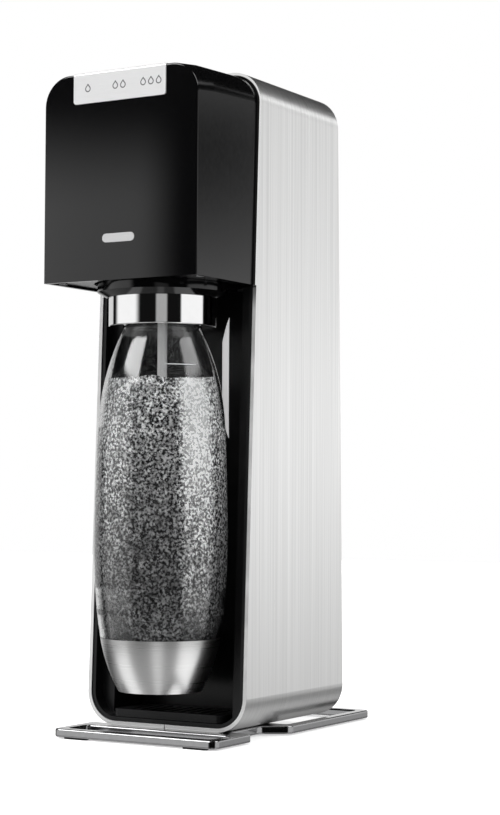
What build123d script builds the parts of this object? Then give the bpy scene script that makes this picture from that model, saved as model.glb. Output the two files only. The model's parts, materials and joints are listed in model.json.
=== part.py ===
from build123d import *
import os
from math import atan2, cos, degrees, pi, radians, sin, sqrt

# All sizes are millimetres. +Z is up, the front faces -Y, and the origin is on the floor
# under the middle of the machine.

# General fits
fit_gap = 0.25
pin_clearance = 0.05
moving_gap = 0.3
overcut = 1.0

# Base frame
foot_height = 1.0
foot_length = 18.0
foot_width = 5.0
foot_corner_radius = 2.25
base_thickness = 5.4
base_overhang = 0.8
base_reach = 32.5
base_tail = 39.8
base_bar = 7.5
base_edge_radius = 1.2
base_corner_radius = 5.0
leg_corner_radius = 3.0
shoulder_corner_radius = 7.0
leg_length = 45.0
waist_half_width = 45.0
waist_length = 38.0
shoulder_length = 12.0
front_window_depth = 21.5
rear_window_depth = 99.0
window_corner_radius = 3.0

# Steel sleeve
case_width = 122.4
case_corner_radius = 22.0
case_wall = 2.5
front_setback = 5.4
front_slope = 16.687
rear_room = 8.789
rear_slope = 9.911
seam_width = 0.5

# Bottle bay
liner_wall = 2.5
liner_setback = 0.8
liner_flange_depth = 8.0
bay_side_wall = 12.45
bay_corner_radius = 4.0
bay_bottle_gap = 5.1
bay_back_wall = 3.0

# Drip tray
tray_side_gap = 4.0
tray_setback = 1.0
tray_depth = 37.0
tray_height = 5.0
tray_wall = 1.5
tray_corner_radius = 4.0
grille_thickness = 1.8
slot_count = 9
slot_width = 3.0
slot_pitch = 7.5
slot_end_radius = 1.35

# Head
head_height = 141.0
roof_fall = 4.8
brow_rise = 2.5
brow_depth = 20.0
head_wall = 2.5
head_overlap = 34.0
head_edge_radius = 1.2
turret_front_gap = 6.4
turret_side_gap = 2.2
turret_rear_gap = 1.5
neck_in_head = 6.2
underplate_setback = 1.2
underplate_thickness = 2.5
underplate_notch = 17.0
underplate_bay_gap = 2.0
rear_strip_depth = 6.0
head_screw_radius = 1.5
head_screw_head_radius = 3.0
head_screw_head_height = 0.8
head_screw_length = 14.0
head_boss_radius = 3.5
head_boss_height = 22.0
head_boss_sink = 0.5
head_screw_front_inset = 11.4
head_screw_rear_inset = 5.0

# Keys
key_words = ("one", "two", "three")
key_bezel_corner_margin = 4.0
key_bezel_height = 20.0
key_bezel_thickness = 1.8
key_bezel_proud = 0.6
key_bezel_top_depth = 14.0
key_bezel_corner_radius = 2.0
key_bezel_edge_radius = 1.6
key_bar_width = 4.2
key_side_bar_width = 1.1
key_height = 11.0
key_corner_radius = 2.8
key_gap = 0.2
key_flange = 1.0
key_flange_thickness = 1.2
key_travel = 0.8
key_slack = 0.1
drop_radius = 2.15
drop_height = 5.6
drop_line = 0.75
drop_pitch = 5.85
drop_depth = 0.3
switch_width = 6.0
switch_depth = 3.0
board_thickness = 1.6
key_board_side_margin = 6.8
key_board_height = 12.0
key_post_radius = 2.5
key_post_inset = 2.5

# Badge place, left bare
badge_length = 24.3
badge_height = 5.6
badge_corner_radius = 2.74
badge_proud = 0.5
badge_rise = 26.6

# Control board
control_board_depth = 55.0
control_board_height = 60.0
control_board_standoff = 2.5
control_board_setback = 11.4
control_post_radius = 2.5
control_post_inset = 6.0

# Bottle: radius and height above its underside, from the cup's top edge to the neck's root
bottle_axis_y = -62.5
bottle_wall = 1.6
bottle_outline = (
    (38.95, 34.6),
    (41.9, 58.5),
    (43.4, 103.5),
    (42.3, 148.5),
    (39.5, 189.5),
    (33.2, 215.5),
    (25.6, 234.5),
)
bottle_base_radius = 27.1
bottle_neck_radius = 17.5
bottle_neck_flare = 9.0
bottle_neck_length = 34.0
bottle_drop = 12.0
drop_clearance = 2.55
thread_depth = 1.1
thread_height = 1.6
thread_pitch = 4.0
thread_count = 3
cup_wall = 1.2
cup_gap = 0.1
cup_bulge = 1.2

# Carriage
turret_rim = 7.4
turret_height = 14.2
turret_bevel = 6.5
turret_bevel_height = 3.5
hub_wall = 5.5
hub_height = 22.0
collar_wall = 9.1
collar_height = 18.7
collar_edge_radius = 0.8
seal_thickness = 3.0
seal_lip = 5.5
jaw_clearance = 0.6
jaw_depth = 6.8
jaw_height = 6.0
jaw_drop = 5.0
jaw_gap = 8.0
tube_radius = 3.25
tube_bore_radius = 1.6
tube_length = 155.0
nozzle_length = 10.0
nozzle_taper_length = 4.0
nozzle_radius = 3.9
nozzle_end_radius = 1.95
nozzle_bore_radius = 0.8
relief_radius = 6.0
relief_stem_radius = 3.6
relief_length = 16.0
relief_offset = 16.0
pivot_setback = 26.5
pivot_rise = 1.0
pivot_pin_radius = 3.0
pivot_arm_width = 7.0
pivot_arm_height = 9.0
pivot_arm_length = 40.0
pivot_eye_radius = 8.0
pivot_side_gap = 3.0
bracket_width = 5.0
bracket_boss_gap = 0.45
bracket_half_depth = 11.0
pin_end = 1.0

# Gas cylinder and its seat
cylinder_radius = 30.0
cylinder_dome_height = 24.0
cylinder_dome_bulge = 2.5
cylinder_neck_radius = 13.5
cylinder_neck_height = 6.0
cylinder_foot_radius = 6.0
cylinder_wall = 3.5
valve_collar_radius = 11.8
valve_collar_height = 10.0
valve_thread_radius = 10.4
valve_thread_length = 16.0
valve_stem_radius = 2.0
valve_stem_length = 9.0
cradle_wall = 3.2
cradle_floor = 7.05
cradle_lip = 6.0
cradle_gap = 0.75

# Chassis, manifold and hose
chassis_setback = 6.0
chassis_plate = 2.5
shelf_thickness = 4.0
shelf_half_width = 30.0
shelf_overhang = 24.0
manifold_half_width = 17.0
manifold_half_depth = 17.0
manifold_roof = 4.0
seal_ring_height = 1.6
seal_ring_bore = 4.0
thread_clearance = 0.3
hose_radius = 2.5
hose_bend = 10.0
hose_inset = 2.3
union_height = 8.0
union_half_width = 4.5

# Press mechanism, hung below the roof of the case
lever_headroom = 24.35
push_pin_radius = 2.0
push_pin_head_radius = 4.0
push_pin_head_height = 2.0
push_pin_stroke_room = 6.0
press_angle = 9.5
lever_arm = 12.0
lever_rise = 6.7
lever_nose_radius = 3.0
lever_nose_overlap = 1.8
lever_arm_height = 7.7
lever_half_width = 4.0
lever_hub_radius = 5.5
lever_pin_radius = 2.0
lever_ear_gap = 1.0
lever_ear_width = 3.0
lever_ear_radius = 6.0
gear_module = 1.25
gear_tip_height = 1.0625
gear_root_depth = 1.5
tooth_root_width = 2.15
tooth_tip_width = 0.92
sector_teeth = 26
sector_shown = 5
pinion_teeth = 10
motor_radius = 12.0
motor_length = 36.0
motor_shaft_radius = 1.5
motor_plate = 2.5
motor_plate_gap = 3.5
motor_foot_length = 14.0

# Rear frame, cover and power inlet
rear_inset = 1.0
rear_frame_thickness = 4.0
cover_thickness = 3.0
cover_side_margin = 16.75
cover_foot_margin = 24.85
cover_top_margin = 47.25
cover_corner_radius = 8.0
cover_gap = 0.3
cover_rib = 2.5
cover_rib_inset = 6.0
cover_rib_height = 4.0
hinge_pin_radius = 1.0
hinge_pin_length = 8.0
hinge_knuckle_radius = 1.9
scoop_half_width = 12.0
scoop_height = 10.0
scoop_depth = 1.4
scoop_corner_radius = 4.0
inlet_x = 30.0
inlet_rise = 12.85
inlet_radius = 5.5
inlet_length = 12.0
inlet_bore_radius = 3.2
inlet_bore_depth = 9.0
inlet_pin_radius = 1.0
inlet_pin_setback = 1.0

# Base screws
base_screw_radius = 2.0
base_screw_head_radius = 4.0
base_screw_head_height = 2.0
front_screw_x = 30.0
front_screw_setback = 26.0
rear_screw_x = 18.0
rear_screw_setback = 24.0
screw_bite = 2.0

# Widths that follow from the sizes above
base_half_width = case_width / 2 + base_overhang
inside_half_width = case_width / 2 - case_wall - fit_gap
inside_radius = case_corner_radius - case_wall - fit_gap
head_inner_half = inside_half_width - head_wall
head_boss_x = head_inner_half - head_boss_radius + head_boss_sink
bay_half_width = inside_half_width - bay_side_wall
tray_half_width = bay_half_width - tray_side_gap
chassis_half_width = bay_half_width - chassis_setback
cover_half_width = inside_half_width - cover_side_margin
bracket_outer = head_boss_x - head_boss_radius - bracket_boss_gap
bracket_inner = bracket_outer - bracket_width
pivot_arm_outer = bracket_inner - pivot_side_gap
pivot_arm_inner = pivot_arm_outer - pivot_arm_width
hose_run_x = hose_inset - bracket_outer
key_bezel_half_width = inside_half_width - inside_radius - key_bezel_corner_margin
key_count = len(key_words)
key_bars = (key_count - 1) * key_bar_width + 2 * key_side_bar_width
key_width = (2 * key_bezel_half_width - key_bars) / key_count
key_pitch = key_width + key_bar_width
key_board_half_width = key_bezel_half_width + key_board_side_margin
key_post_spread = key_board_half_width - key_post_inset

# Radii that follow, from the bottle's neck outwards
bottle_widest = max(radius for radius, rise in bottle_outline)
thread_radius = bottle_neck_radius + thread_depth
seal_bore_radius = bottle_neck_radius - seal_lip
jaw_inner_radius = thread_radius + jaw_clearance
turret_bore_radius = jaw_inner_radius + jaw_depth
hub_radius = turret_bore_radius + hub_wall
collar_radius = turret_bore_radius + collar_wall
turret_radius = collar_radius + turret_rim
sector_radius = gear_module * sector_teeth / 2
pinion_radius = gear_module * pinion_teeth / 2

# Heights that follow, from the floor up to the head and the roof
base_top = foot_height + base_thickness
case_bottom = base_top
inside_bottom = case_bottom + case_wall + fit_gap
bay_floor = inside_bottom + liner_wall
tray_bottom = bay_floor + moving_gap
bottle_bottom = tray_bottom + tray_height + bottle_drop + drop_clearance
cup_top = bottle_bottom + bottle_outline[0][1] - moving_gap
bottle_top = bottle_bottom + bottle_outline[-1][1] + bottle_neck_length
turret_top = bottle_top
turret_bottom = turret_top - turret_height
pivot_z = turret_top + pivot_rise
head_bottom = bottle_top - neck_in_head
liner_top = head_bottom - moving_gap
underplate_low = head_bottom + underplate_setback
underplate_top = underplate_low + underplate_thickness
badge_z = head_bottom + badge_rise
case_top = head_bottom + head_height
case_height = case_top - case_bottom
inside_top = case_top - case_wall - fit_gap
brow_top = inside_top - roof_fall
bezel_top = brow_top + key_bezel_proud
bezel_low = bezel_top - key_bezel_height
key_z = bezel_low + key_bezel_height / 2
control_board_high = brow_top - inside_radius
control_board_low = control_board_high - control_board_height
cover_low = inside_bottom + cover_foot_margin
cover_high = inside_top - cover_top_margin
hinge_rise = cover_low - case_bottom + hinge_knuckle_radius
inlet_z = inside_bottom + inlet_rise

# Heights of the press mechanism and the gas cylinder, from the head's brow down
lever_z = brow_top - lever_headroom
push_pin_top = lever_z - lever_rise - moving_gap
shelf_top = push_pin_top - push_pin_head_height - push_pin_stroke_room
manifold_top = shelf_top - shelf_thickness
seal_ring_low = manifold_top - manifold_roof - seal_ring_height
valve_top = seal_ring_low - moving_gap
push_pin_low = valve_top + moving_gap
valve_collar_top = valve_top - valve_thread_length
manifold_low = valve_collar_top + 2 * moving_gap
cylinder_neck_top = valve_collar_top - valve_collar_height
cylinder_neck_bottom = cylinder_neck_top - cylinder_neck_height
cylinder_shoulder = cylinder_neck_bottom - cylinder_dome_height
cylinder_bottom = inside_bottom + cradle_floor + moving_gap
hose_z = (manifold_low + manifold_top) / 2
union_low = pivot_z + bracket_half_depth

# Depths that follow, from the bottle's axis forwards and back
head_inner_front = bottle_axis_y - turret_radius - turret_front_gap
head_front = head_inner_front - head_wall
bezel_face = head_front - key_bezel_proud
switch_front = head_inner_front + moving_gap + key_flange_thickness + key_travel + key_slack
control_board_front = head_inner_front + control_board_setback
head_screw_front = head_inner_front + head_screw_front_inset
base_front = bottle_axis_y - base_reach
leg_rear = base_front + leg_length
front_window_rear = base_front + base_bar + front_window_depth
waist_rear = leg_rear + waist_length
pivot_y = bottle_axis_y + pivot_setback
front_edge_bottom = bottle_axis_y + front_setback
front_edge_top = front_edge_bottom + front_slope
tray_front = front_edge_bottom + liner_setback + tray_setback
bay_back = bottle_axis_y + bottle_widest + bay_bottle_gap
front_screw_y = bay_back - front_screw_setback
underplate_rear = bay_back - underplate_bay_gap
rear_strip_front = underplate_rear - rear_strip_depth
head_screw_rear = underplate_rear - head_screw_rear_inset
head_rear = bay_back + head_overlap
chassis_front = bay_back + bay_back_wall + fit_gap
chassis_rear = chassis_front + chassis_plate
cylinder_y = chassis_rear + cradle_gap + cradle_wall + moving_gap + cylinder_radius
rear_screw_y = cylinder_y - rear_screw_setback
shelf_rear = cylinder_y + shelf_overhang
lever_y = cylinder_y - lever_arm
pinion_y = lever_y - sector_radius - pinion_radius
shelf_foot_rear = lever_y - lever_ear_radius - lever_ear_gap
motor_face = lever_half_width + motor_plate_gap + motor_plate
rear_edge_top = cylinder_y + cylinder_radius + rear_room
rear_edge_bottom = rear_edge_top + rear_slope
base_rear = rear_edge_bottom + base_tail
rear_window_front = base_rear - base_bar - rear_window_depth
hinge_y = -rear_frame_thickness / 2
rear_lean = degrees(atan2(rear_slope, case_height))
stem_travel = lever_arm * radians(press_angle)


def block(x, y, z):
    """Box between a low and a high value on each axis."""
    centre = Pos((x[0] + x[1]) / 2, (y[0] + y[1]) / 2, (z[0] + z[1]) / 2)
    return centre * Box(x[1] - x[0], y[1] - y[0], z[1] - z[0])


def rod_x(radius, x, y, z):
    return Pos((x[0] + x[1]) / 2, y, z) * Rot(0, 90, 0) * Cylinder(radius, x[1] - x[0])


def rod_y(radius, x, y, z):
    return Pos(x, (y[0] + y[1]) / 2, z) * Rot(90, 0, 0) * Cylinder(radius, y[1] - y[0])


def rod_z(radius, x, y, z):
    return Pos(x, y, (z[0] + z[1]) / 2) * Cylinder(radius, z[1] - z[0])


def upright_plate(half_width, z, radius, y):
    """Plate with rounded corners that stands across the machine, from y[0] to y[1]."""
    face = RectangleRounded(2 * half_width, z[1] - z[0], radius)
    return Pos(0, y[1], (z[0] + z[1]) / 2) * Rot(90, 0, 0) * extrude(face, y[1] - y[0])


def flat_plate(x, y, z, radius):
    """Plate with rounded corners that lies flat."""
    face = Pos((x[0] + x[1]) / 2, (y[0] + y[1]) / 2, z[0]) * RectangleRounded(
        x[1] - x[0], y[1] - y[0], radius
    )
    return extrude(face, z[1] - z[0])


def side_prism(points, half_width):
    """Outline in the side view, of y and z pairs, carried across the machine."""
    return extrude(Plane.YZ * make_face(Polyline(*points, close=True)), half_width, both=True)


def turned(points, x=0.0, y=0.0):
    """Solid turned about an upright axis from straight runs of radius and height."""
    return Pos(x, y, 0) * revolve(Plane.XZ * make_face(Polyline(*points, close=True)), Axis.Z)


def ring(outer, inner, z, x=0.0, y=0.0):
    return rod_z(outer, x, y, z) - rod_z(inner, x, y, z)


def front_edge(z):
    """Y of the sleeve's leaning front edge at height z."""
    share = (z - case_bottom) / case_height
    return front_edge_bottom + (front_edge_top - front_edge_bottom) * share


def rear_edge(z):
    """Y of the sleeve's leaning rear edge at height z."""
    share = (z - case_bottom) / case_height
    return rear_edge_bottom + (rear_edge_top - rear_edge_bottom) * share


def lean_band(front_offset, rear_y, z):
    """Prism behind the leaning front edge, moved back by front_offset, as far as rear_y."""
    points = (
        (front_edge(z[0]) + front_offset, z[0]),
        (front_edge(z[1]) + front_offset, z[1]),
        (rear_y, z[1]),
        (rear_y, z[0]),
    )
    return side_prism(points, case_width)


def leaned(shape):
    """Place a shape, built against the plane y = 0, on the sleeve's leaning rear edge."""
    return Pos(0, rear_edge_bottom - rear_inset, case_bottom) * Rot(rear_lean, 0, 0) * shape


def save(shape, name):
    export_step(shape, os.path.join("parts", name + ".step"))


def base_screw_places():
    return [
        (side * x, y)
        for x, y in ((front_screw_x, front_screw_y), (rear_screw_x, rear_screw_y))
        for side in (-1, 1)
    ]


def head_screw_places():
    return [(side * head_boss_x, y) for y in (head_screw_front, head_screw_rear) for side in (-1, 1)]


def base_frame():
    right_side = [
        (base_half_width, base_front),
        (base_half_width, leg_rear),
        (waist_half_width, leg_rear),
        (waist_half_width, waist_rear),
        (base_half_width, waist_rear + shoulder_length),
        (base_half_width, base_rear),
    ]
    left_side = [(-x, y) for x, y in reversed(right_side)]
    bend = shoulder_corner_radius
    radii = [base_corner_radius, leg_corner_radius, leg_corner_radius, bend, bend, base_corner_radius]
    outline = FilletPolyline(*right_side, *left_side, radius=radii + radii[::-1], close=True)
    plate = extrude(Pos(0, 0, foot_height) * make_face(outline), base_thickness)
    window_half = base_half_width - base_bar
    depth = (foot_height - overcut, base_top + overcut)
    front = (base_front + base_bar, front_window_rear)
    rear = (rear_window_front, base_rear - base_bar)
    plate -= flat_plate((-window_half, window_half), front, depth, window_corner_radius)
    plate -= flat_plate((-window_half, window_half), rear, depth, window_corner_radius)
    rims = plate.faces().sort_by(Axis.Z)[-1].edges() + plate.faces().sort_by(Axis.Z)[0].edges()
    plate = fillet(rims, base_edge_radius)
    for x, y in base_screw_places():
        plate -= rod_z(base_screw_radius + fit_gap, x, y, depth)
        sink = (foot_height - overcut, foot_height + base_screw_head_height + fit_gap)
        plate -= rod_z(base_screw_head_radius + fit_gap, x, y, sink)
    return plate


def base_feet():
    reach = base_half_width - base_bar - foot_length / 2
    bars = (base_front + base_bar / 2, base_rear - base_bar / 2)
    feet = []
    for x in (-reach, reach):
        for y in bars:
            span_x = (x - foot_length / 2, x + foot_length / 2)
            span_y = (y - foot_width / 2, y + foot_width / 2)
            feet.append(flat_plate(span_x, span_y, (0, foot_height), foot_corner_radius))
    return Compound(children=feet)


def base_screws():
    head_low = foot_height + fit_gap
    head_high = head_low + base_screw_head_height
    tip = inside_bottom + screw_bite
    screws = []
    for x, y in base_screw_places():
        shank = rod_z(base_screw_radius, x, y, (head_low, tip))
        screws.append(shank + rod_z(base_screw_head_radius, x, y, (head_low, head_high)))
    return Compound(children=screws)


def sleeve():
    y = (front_edge_bottom - overcut, rear_edge_bottom + overcut)
    tube = upright_plate(case_width / 2, (case_bottom, case_top), case_corner_radius, y)
    hollow = (case_bottom + case_wall, case_top - case_wall)
    inner = upright_plate(case_width / 2 - case_wall, hollow, case_corner_radius - case_wall, y)
    outline = (
        (front_edge(case_bottom), case_bottom),
        (front_edge(case_top), case_top),
        (rear_edge(case_top), case_top),
        (rear_edge(case_bottom), case_bottom),
    )
    tube = (tube - inner) & side_prism(outline, case_width)
    seam = (case_bottom - overcut, case_bottom + case_wall + overcut)
    tube -= block((-seam_width / 2, seam_width / 2), y, seam)
    for x, place in base_screw_places():
        tube -= rod_z(base_screw_radius + fit_gap, x, place, seam)
    return tube


def bay_liner():
    y = (front_edge_bottom - overcut, bay_back + bay_back_wall)
    full = (inside_bottom, inside_top)
    body = upright_plate(inside_half_width, full, inside_radius, y)
    body &= lean_band(liner_setback, y[1], (inside_bottom - overcut, liner_top))
    channel = (bay_floor, inside_top)
    mouth = upright_plate(inside_half_width - liner_wall, channel, inside_radius - liner_wall, y)
    flange_offset = liner_setback + liner_flange_depth
    tall = (inside_bottom - overcut, inside_top + overcut)
    mouth -= lean_band(flange_offset, y[1] + overcut, tall)
    body -= mouth
    body -= upright_plate(bay_half_width, channel, bay_corner_radius, (y[0], bay_back))
    pocket_low = inside_bottom + inside_radius
    pocket_z = (pocket_low, liner_top - liner_wall)
    pocket = lean_band(flange_offset + liner_wall, y[1] + overcut, pocket_z)
    for side in (-1, 1):
        x = sorted((side * (bay_half_width + liner_wall), side * (inside_half_width - liner_wall)))
        body -= pocket & block(x, (y[0], y[1] + overcut), pocket_z)
    for x, place in base_screw_places()[:2]:
        hole = (inside_bottom - overcut, inside_bottom + screw_bite + fit_gap)
        body -= rod_z(base_screw_radius + fit_gap, x, place, hole)
    return body


def drip_tray():
    x = (-tray_half_width, tray_half_width)
    y = (tray_front, tray_front + tray_depth)
    pan = flat_plate(x, y, (tray_bottom, tray_bottom + tray_height), tray_corner_radius)
    hollow_x = (x[0] + tray_wall, x[1] - tray_wall)
    hollow_y = (y[0] + tray_wall, y[1] - tray_wall)
    hollow_z = (tray_bottom + tray_wall, tray_bottom + tray_height + overcut)
    return pan - flat_plate(hollow_x, hollow_y, hollow_z, tray_corner_radius - tray_wall)


def drip_grille():
    inset = tray_wall + fit_gap
    x = (-tray_half_width + inset, tray_half_width - inset)
    y = (tray_front + inset, tray_front + tray_depth - inset)
    top = tray_bottom + tray_height
    z = (top - grille_thickness, top)
    plate = flat_plate(x, y, z, tray_corner_radius - inset)
    leg_height = (tray_bottom + tray_wall, top - grille_thickness)
    for place_x in (x[0] + inset, x[1] - inset):
        for place_y in (y[0] + inset, y[1] - inset):
            plate += rod_z(tray_wall, place_x, place_y, leg_height)
    middle = (y[0] + y[1]) / 2
    half_slot = (y[1] - y[0]) / 2 - slot_width
    for index in range(slot_count):
        place = (index - (slot_count - 1) / 2) * slot_pitch
        span_x = (place - slot_width / 2, place + slot_width / 2)
        span_y = (middle - half_slot, middle + half_slot)
        plate -= flat_plate(span_x, span_y, (z[0] - overcut, z[1] + overcut), slot_end_radius)
    return plate


def roofed_body(half_width, low, radius, roof):
    """Body with rounded corners, carried along the machine under a roof line of y and z pairs."""
    runs = []
    for (start, high), (stop, next_high) in zip(roof, roof[1:]):
        face = RectangleRounded(2 * half_width, high - low, radius)
        step = (0, stop - start, next_high - high)
        length = sqrt(step[1] ** 2 + step[2] ** 2)
        run = extrude(Pos(0, start, (low + high) / 2) * Rot(90, 0, 0) * face, length, dir=step)
        runs.append(run)
    return runs[0].fuse(*runs[1:])


def head_shell():
    low = head_bottom - 2 * inside_radius
    rim = front_edge(case_top)
    brow = (head_front + brow_depth, brow_top + brow_rise)
    roof = ((head_front, brow_top), brow, (rim, inside_top), (head_rear, inside_top))
    body = roofed_body(inside_half_width, low, inside_radius, roof)
    body = fillet(body.faces().sort_by(Axis.Y)[0].edges(), head_edge_radius)
    wrap_end = bezel_face + key_bezel_top_depth + fit_gap
    front_ceiling = brow_top - head_wall
    rear_ceiling = inside_top - head_wall
    ceiling = ((head_inner_front, front_ceiling), (wrap_end, front_ceiling),
               (rim, rear_ceiling), (head_rear + overcut, rear_ceiling))
    body -= roofed_body(head_inner_half, low - head_wall, inside_radius - head_wall, ceiling)
    sides = (-case_width, case_width)
    ends = (head_front - overcut, head_rear + overcut)
    body -= block(sides, ends, (low - overcut, head_bottom))
    recess_x = (-key_bezel_half_width - fit_gap, key_bezel_half_width + fit_gap)
    recess_floor = bezel_face + key_bezel_thickness
    recess_low = bezel_low - fit_gap
    body -= block(recess_x, (ends[0], recess_floor), (recess_low, bezel_top))
    wrap = (ends[0], wrap_end)
    body -= block(recess_x, wrap, (bezel_top - key_bezel_thickness, inside_top + overcut))
    for index in range(key_count):
        body -= key_prism(index, key_gap, (ends[0], head_inner_front + overcut))
    for x in (-key_post_spread, key_post_spread):
        post = (head_inner_front - head_wall / 2, switch_front + switch_depth)
        body += rod_y(key_post_radius, x, post, key_z)
    boss = (underplate_top, underplate_top + head_boss_height)
    bore = (underplate_top - overcut, underplate_top + head_screw_length + overcut)
    for x, place in head_screw_places():
        body += rod_z(head_boss_radius, x, place, boss)
        body -= rod_z(head_screw_radius + pin_clearance, x, place, bore)
    wall_face = -head_inner_half - head_wall / 2
    post_end = -head_inner_half + control_board_standoff
    for place_y, place_z in control_post_places():
        body += rod_x(control_post_radius, (wall_face, post_end), place_y, place_z)
    return body


def underplate_opening(z):
    reach = turret_radius + turret_side_gap
    hole = rod_z(reach, 0, bottle_axis_y, z)
    hole &= block((-reach, reach), (bottle_axis_y - reach, rear_strip_front), z)
    arm_room = bracket_inner - moving_gap
    hole += block((-arm_room, arm_room), (bottle_axis_y, rear_strip_front), z)
    arm_side = pivot_arm_outer + moving_gap
    arm_front = pivot_y - pivot_arm_length - moving_gap
    hole += block((-arm_side, arm_side), (arm_front, rear_strip_front), z)
    return hole + block((-underplate_notch, underplate_notch), (head_front, bottle_axis_y), z)


def head_underplate():
    half = head_inner_half - fit_gap
    y = (head_inner_front + fit_gap, underplate_rear)
    plate = block((-half, half), y, (underplate_low, underplate_top))
    hole = (underplate_low - overcut, underplate_top + overcut)
    plate -= underplate_opening(hole)
    for x, place in head_screw_places():
        plate -= rod_z(head_screw_radius + pin_clearance, x, place, hole)
    return plate


def head_screws():
    screws = []
    head = (underplate_low - head_screw_head_height, underplate_low)
    shank = (underplate_low, underplate_top + head_screw_length)
    for x, y in head_screw_places():
        screw = rod_z(head_screw_head_radius, x, y, head) + rod_z(head_screw_radius, x, y, shank)
        screws.append(screw)
    return Compound(children=screws)


def key_x(index):
    return (index - (key_count - 1) / 2) * key_pitch


def key_prism(index, growth, y):
    """Key outline, grown all round, run from y[0] to y[1]."""
    x = key_x(index)
    width = key_width + 2 * growth
    height = key_height + 2 * growth
    face = RectangleRounded(width, height, key_corner_radius + growth)
    return Pos(x, y[1], key_z) * Rot(90, 0, 0) * extrude(face, y[1] - y[0])


def key_bezel():
    x = (-key_bezel_half_width, key_bezel_half_width)
    z = (bezel_low, bezel_top)
    y = (bezel_face, bezel_face + key_bezel_thickness)
    both = (bezel_low, bezel_top + key_bezel_height)
    front = upright_plate(key_bezel_half_width, both, key_bezel_corner_radius, y) & block(x, y, z)
    top_z = (bezel_top - key_bezel_thickness, bezel_top)
    plate = front + block(x, (bezel_face, bezel_face + key_bezel_top_depth), top_z)
    ridge = plate.edges().filter_by(Axis.X).sort_by(Axis.Z)[-2:].sort_by(Axis.Y)[0]
    plate = fillet([ridge], key_bezel_edge_radius)
    for index in range(key_count):
        plate -= key_prism(index, key_gap, (y[0] - overcut, y[1] + overcut))
    return plate


def drop_face(radius):
    """Drop with a round foot of that radius and two flanks that touch it and meet at the tip."""
    reach = (drop_height - drop_radius) * radius / drop_radius
    touch = radius / reach
    side = sqrt(1 - touch * touch)
    flank = (radius * side, radius * touch)
    tip = make_face(Polyline((0, reach), flank, (-flank[0], flank[1]), close=True))
    return Circle(radius) + tip


def key_icon(index):
    """One, two or three drop outlines let into the key's face."""
    count = index + 1
    drops = []
    low = key_z - drop_height / 2 + drop_radius
    for number in range(count):
        x = key_x(index) + (number - (count - 1) / 2) * drop_pitch
        drop = extrude(drop_face(drop_radius) - drop_face(drop_radius - drop_line), drop_depth)
        drops.append(Pos(x, bezel_face + drop_depth, low) * Rot(90, 0, 0) * drop)
    return Compound(children=drops)


def key_cap(index):
    flange = (head_inner_front + moving_gap, head_inner_front + moving_gap + key_flange_thickness)
    cap = key_prism(index, 0, (bezel_face, flange[1])) + key_prism(index, key_flange, flange)
    for drop in key_icon(index).solids():
        cap -= drop
    return cap


def key_board():
    y = (switch_front + switch_depth, switch_front + switch_depth + board_thickness)
    z = (key_z - key_board_height / 2, key_z + key_board_height / 2)
    return block((-key_board_half_width, key_board_half_width), y, z)


def key_switches():
    y = (switch_front, switch_front + switch_depth)
    half = switch_width / 2
    switches = []
    for index in range(key_count):
        x = key_x(index)
        switches.append(block((x - half, x + half), y, (key_z - half, key_z + half)))
    return Compound(children=switches)


def head_badge():
    face = RectangleRounded(badge_length, badge_height, badge_corner_radius)
    return Pos(0, head_front, badge_z) * Rot(90, 0, 0) * extrude(face, badge_proud)


def control_post_places():
    y = (control_board_front + control_post_inset,
         control_board_front + control_board_depth - control_post_inset)
    z = (control_board_low + control_post_inset,
         control_board_low + control_board_height - control_post_inset)
    return [(place_y, place_z) for place_y in y for place_z in z]


def control_board():
    face = -head_inner_half + control_board_standoff
    y = (control_board_front, control_board_front + control_board_depth)
    z = (control_board_low, control_board_low + control_board_height)
    return block((face, face + board_thickness), y, z)


def pivot_bracket():
    """Two ears on the underplate that carry the carriage's pins, joined behind the turret."""
    low = underplate_top
    y = (pivot_y - bracket_half_depth, pivot_y + bracket_half_depth)
    bar = (rear_strip_front, underplate_rear)
    frame = block((-bracket_outer, bracket_outer), bar, (low, low + bracket_width))
    for side in (-1, 1):
        x = sorted((side * bracket_inner, side * bracket_outer))
        ear = block(x, y, (low, pivot_z)) + rod_x(bracket_half_depth, x, pivot_y, pivot_z)
        ear &= block(x, y, (low, union_low + overcut))
        ear += block(x, (pivot_y, bar[1]), (low, low + bracket_width))
        frame += ear - rod_x(pivot_pin_radius, x, pivot_y, pivot_z)
    return frame


def pivot_pins():
    pins = []
    for side in (-1, 1):
        x = sorted((side * (pivot_arm_inner - pin_end), side * (bracket_outer + pin_end)))
        pins.append(rod_x(pivot_pin_radius, x, pivot_y, pivot_z))
    return Compound(children=pins)


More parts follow.
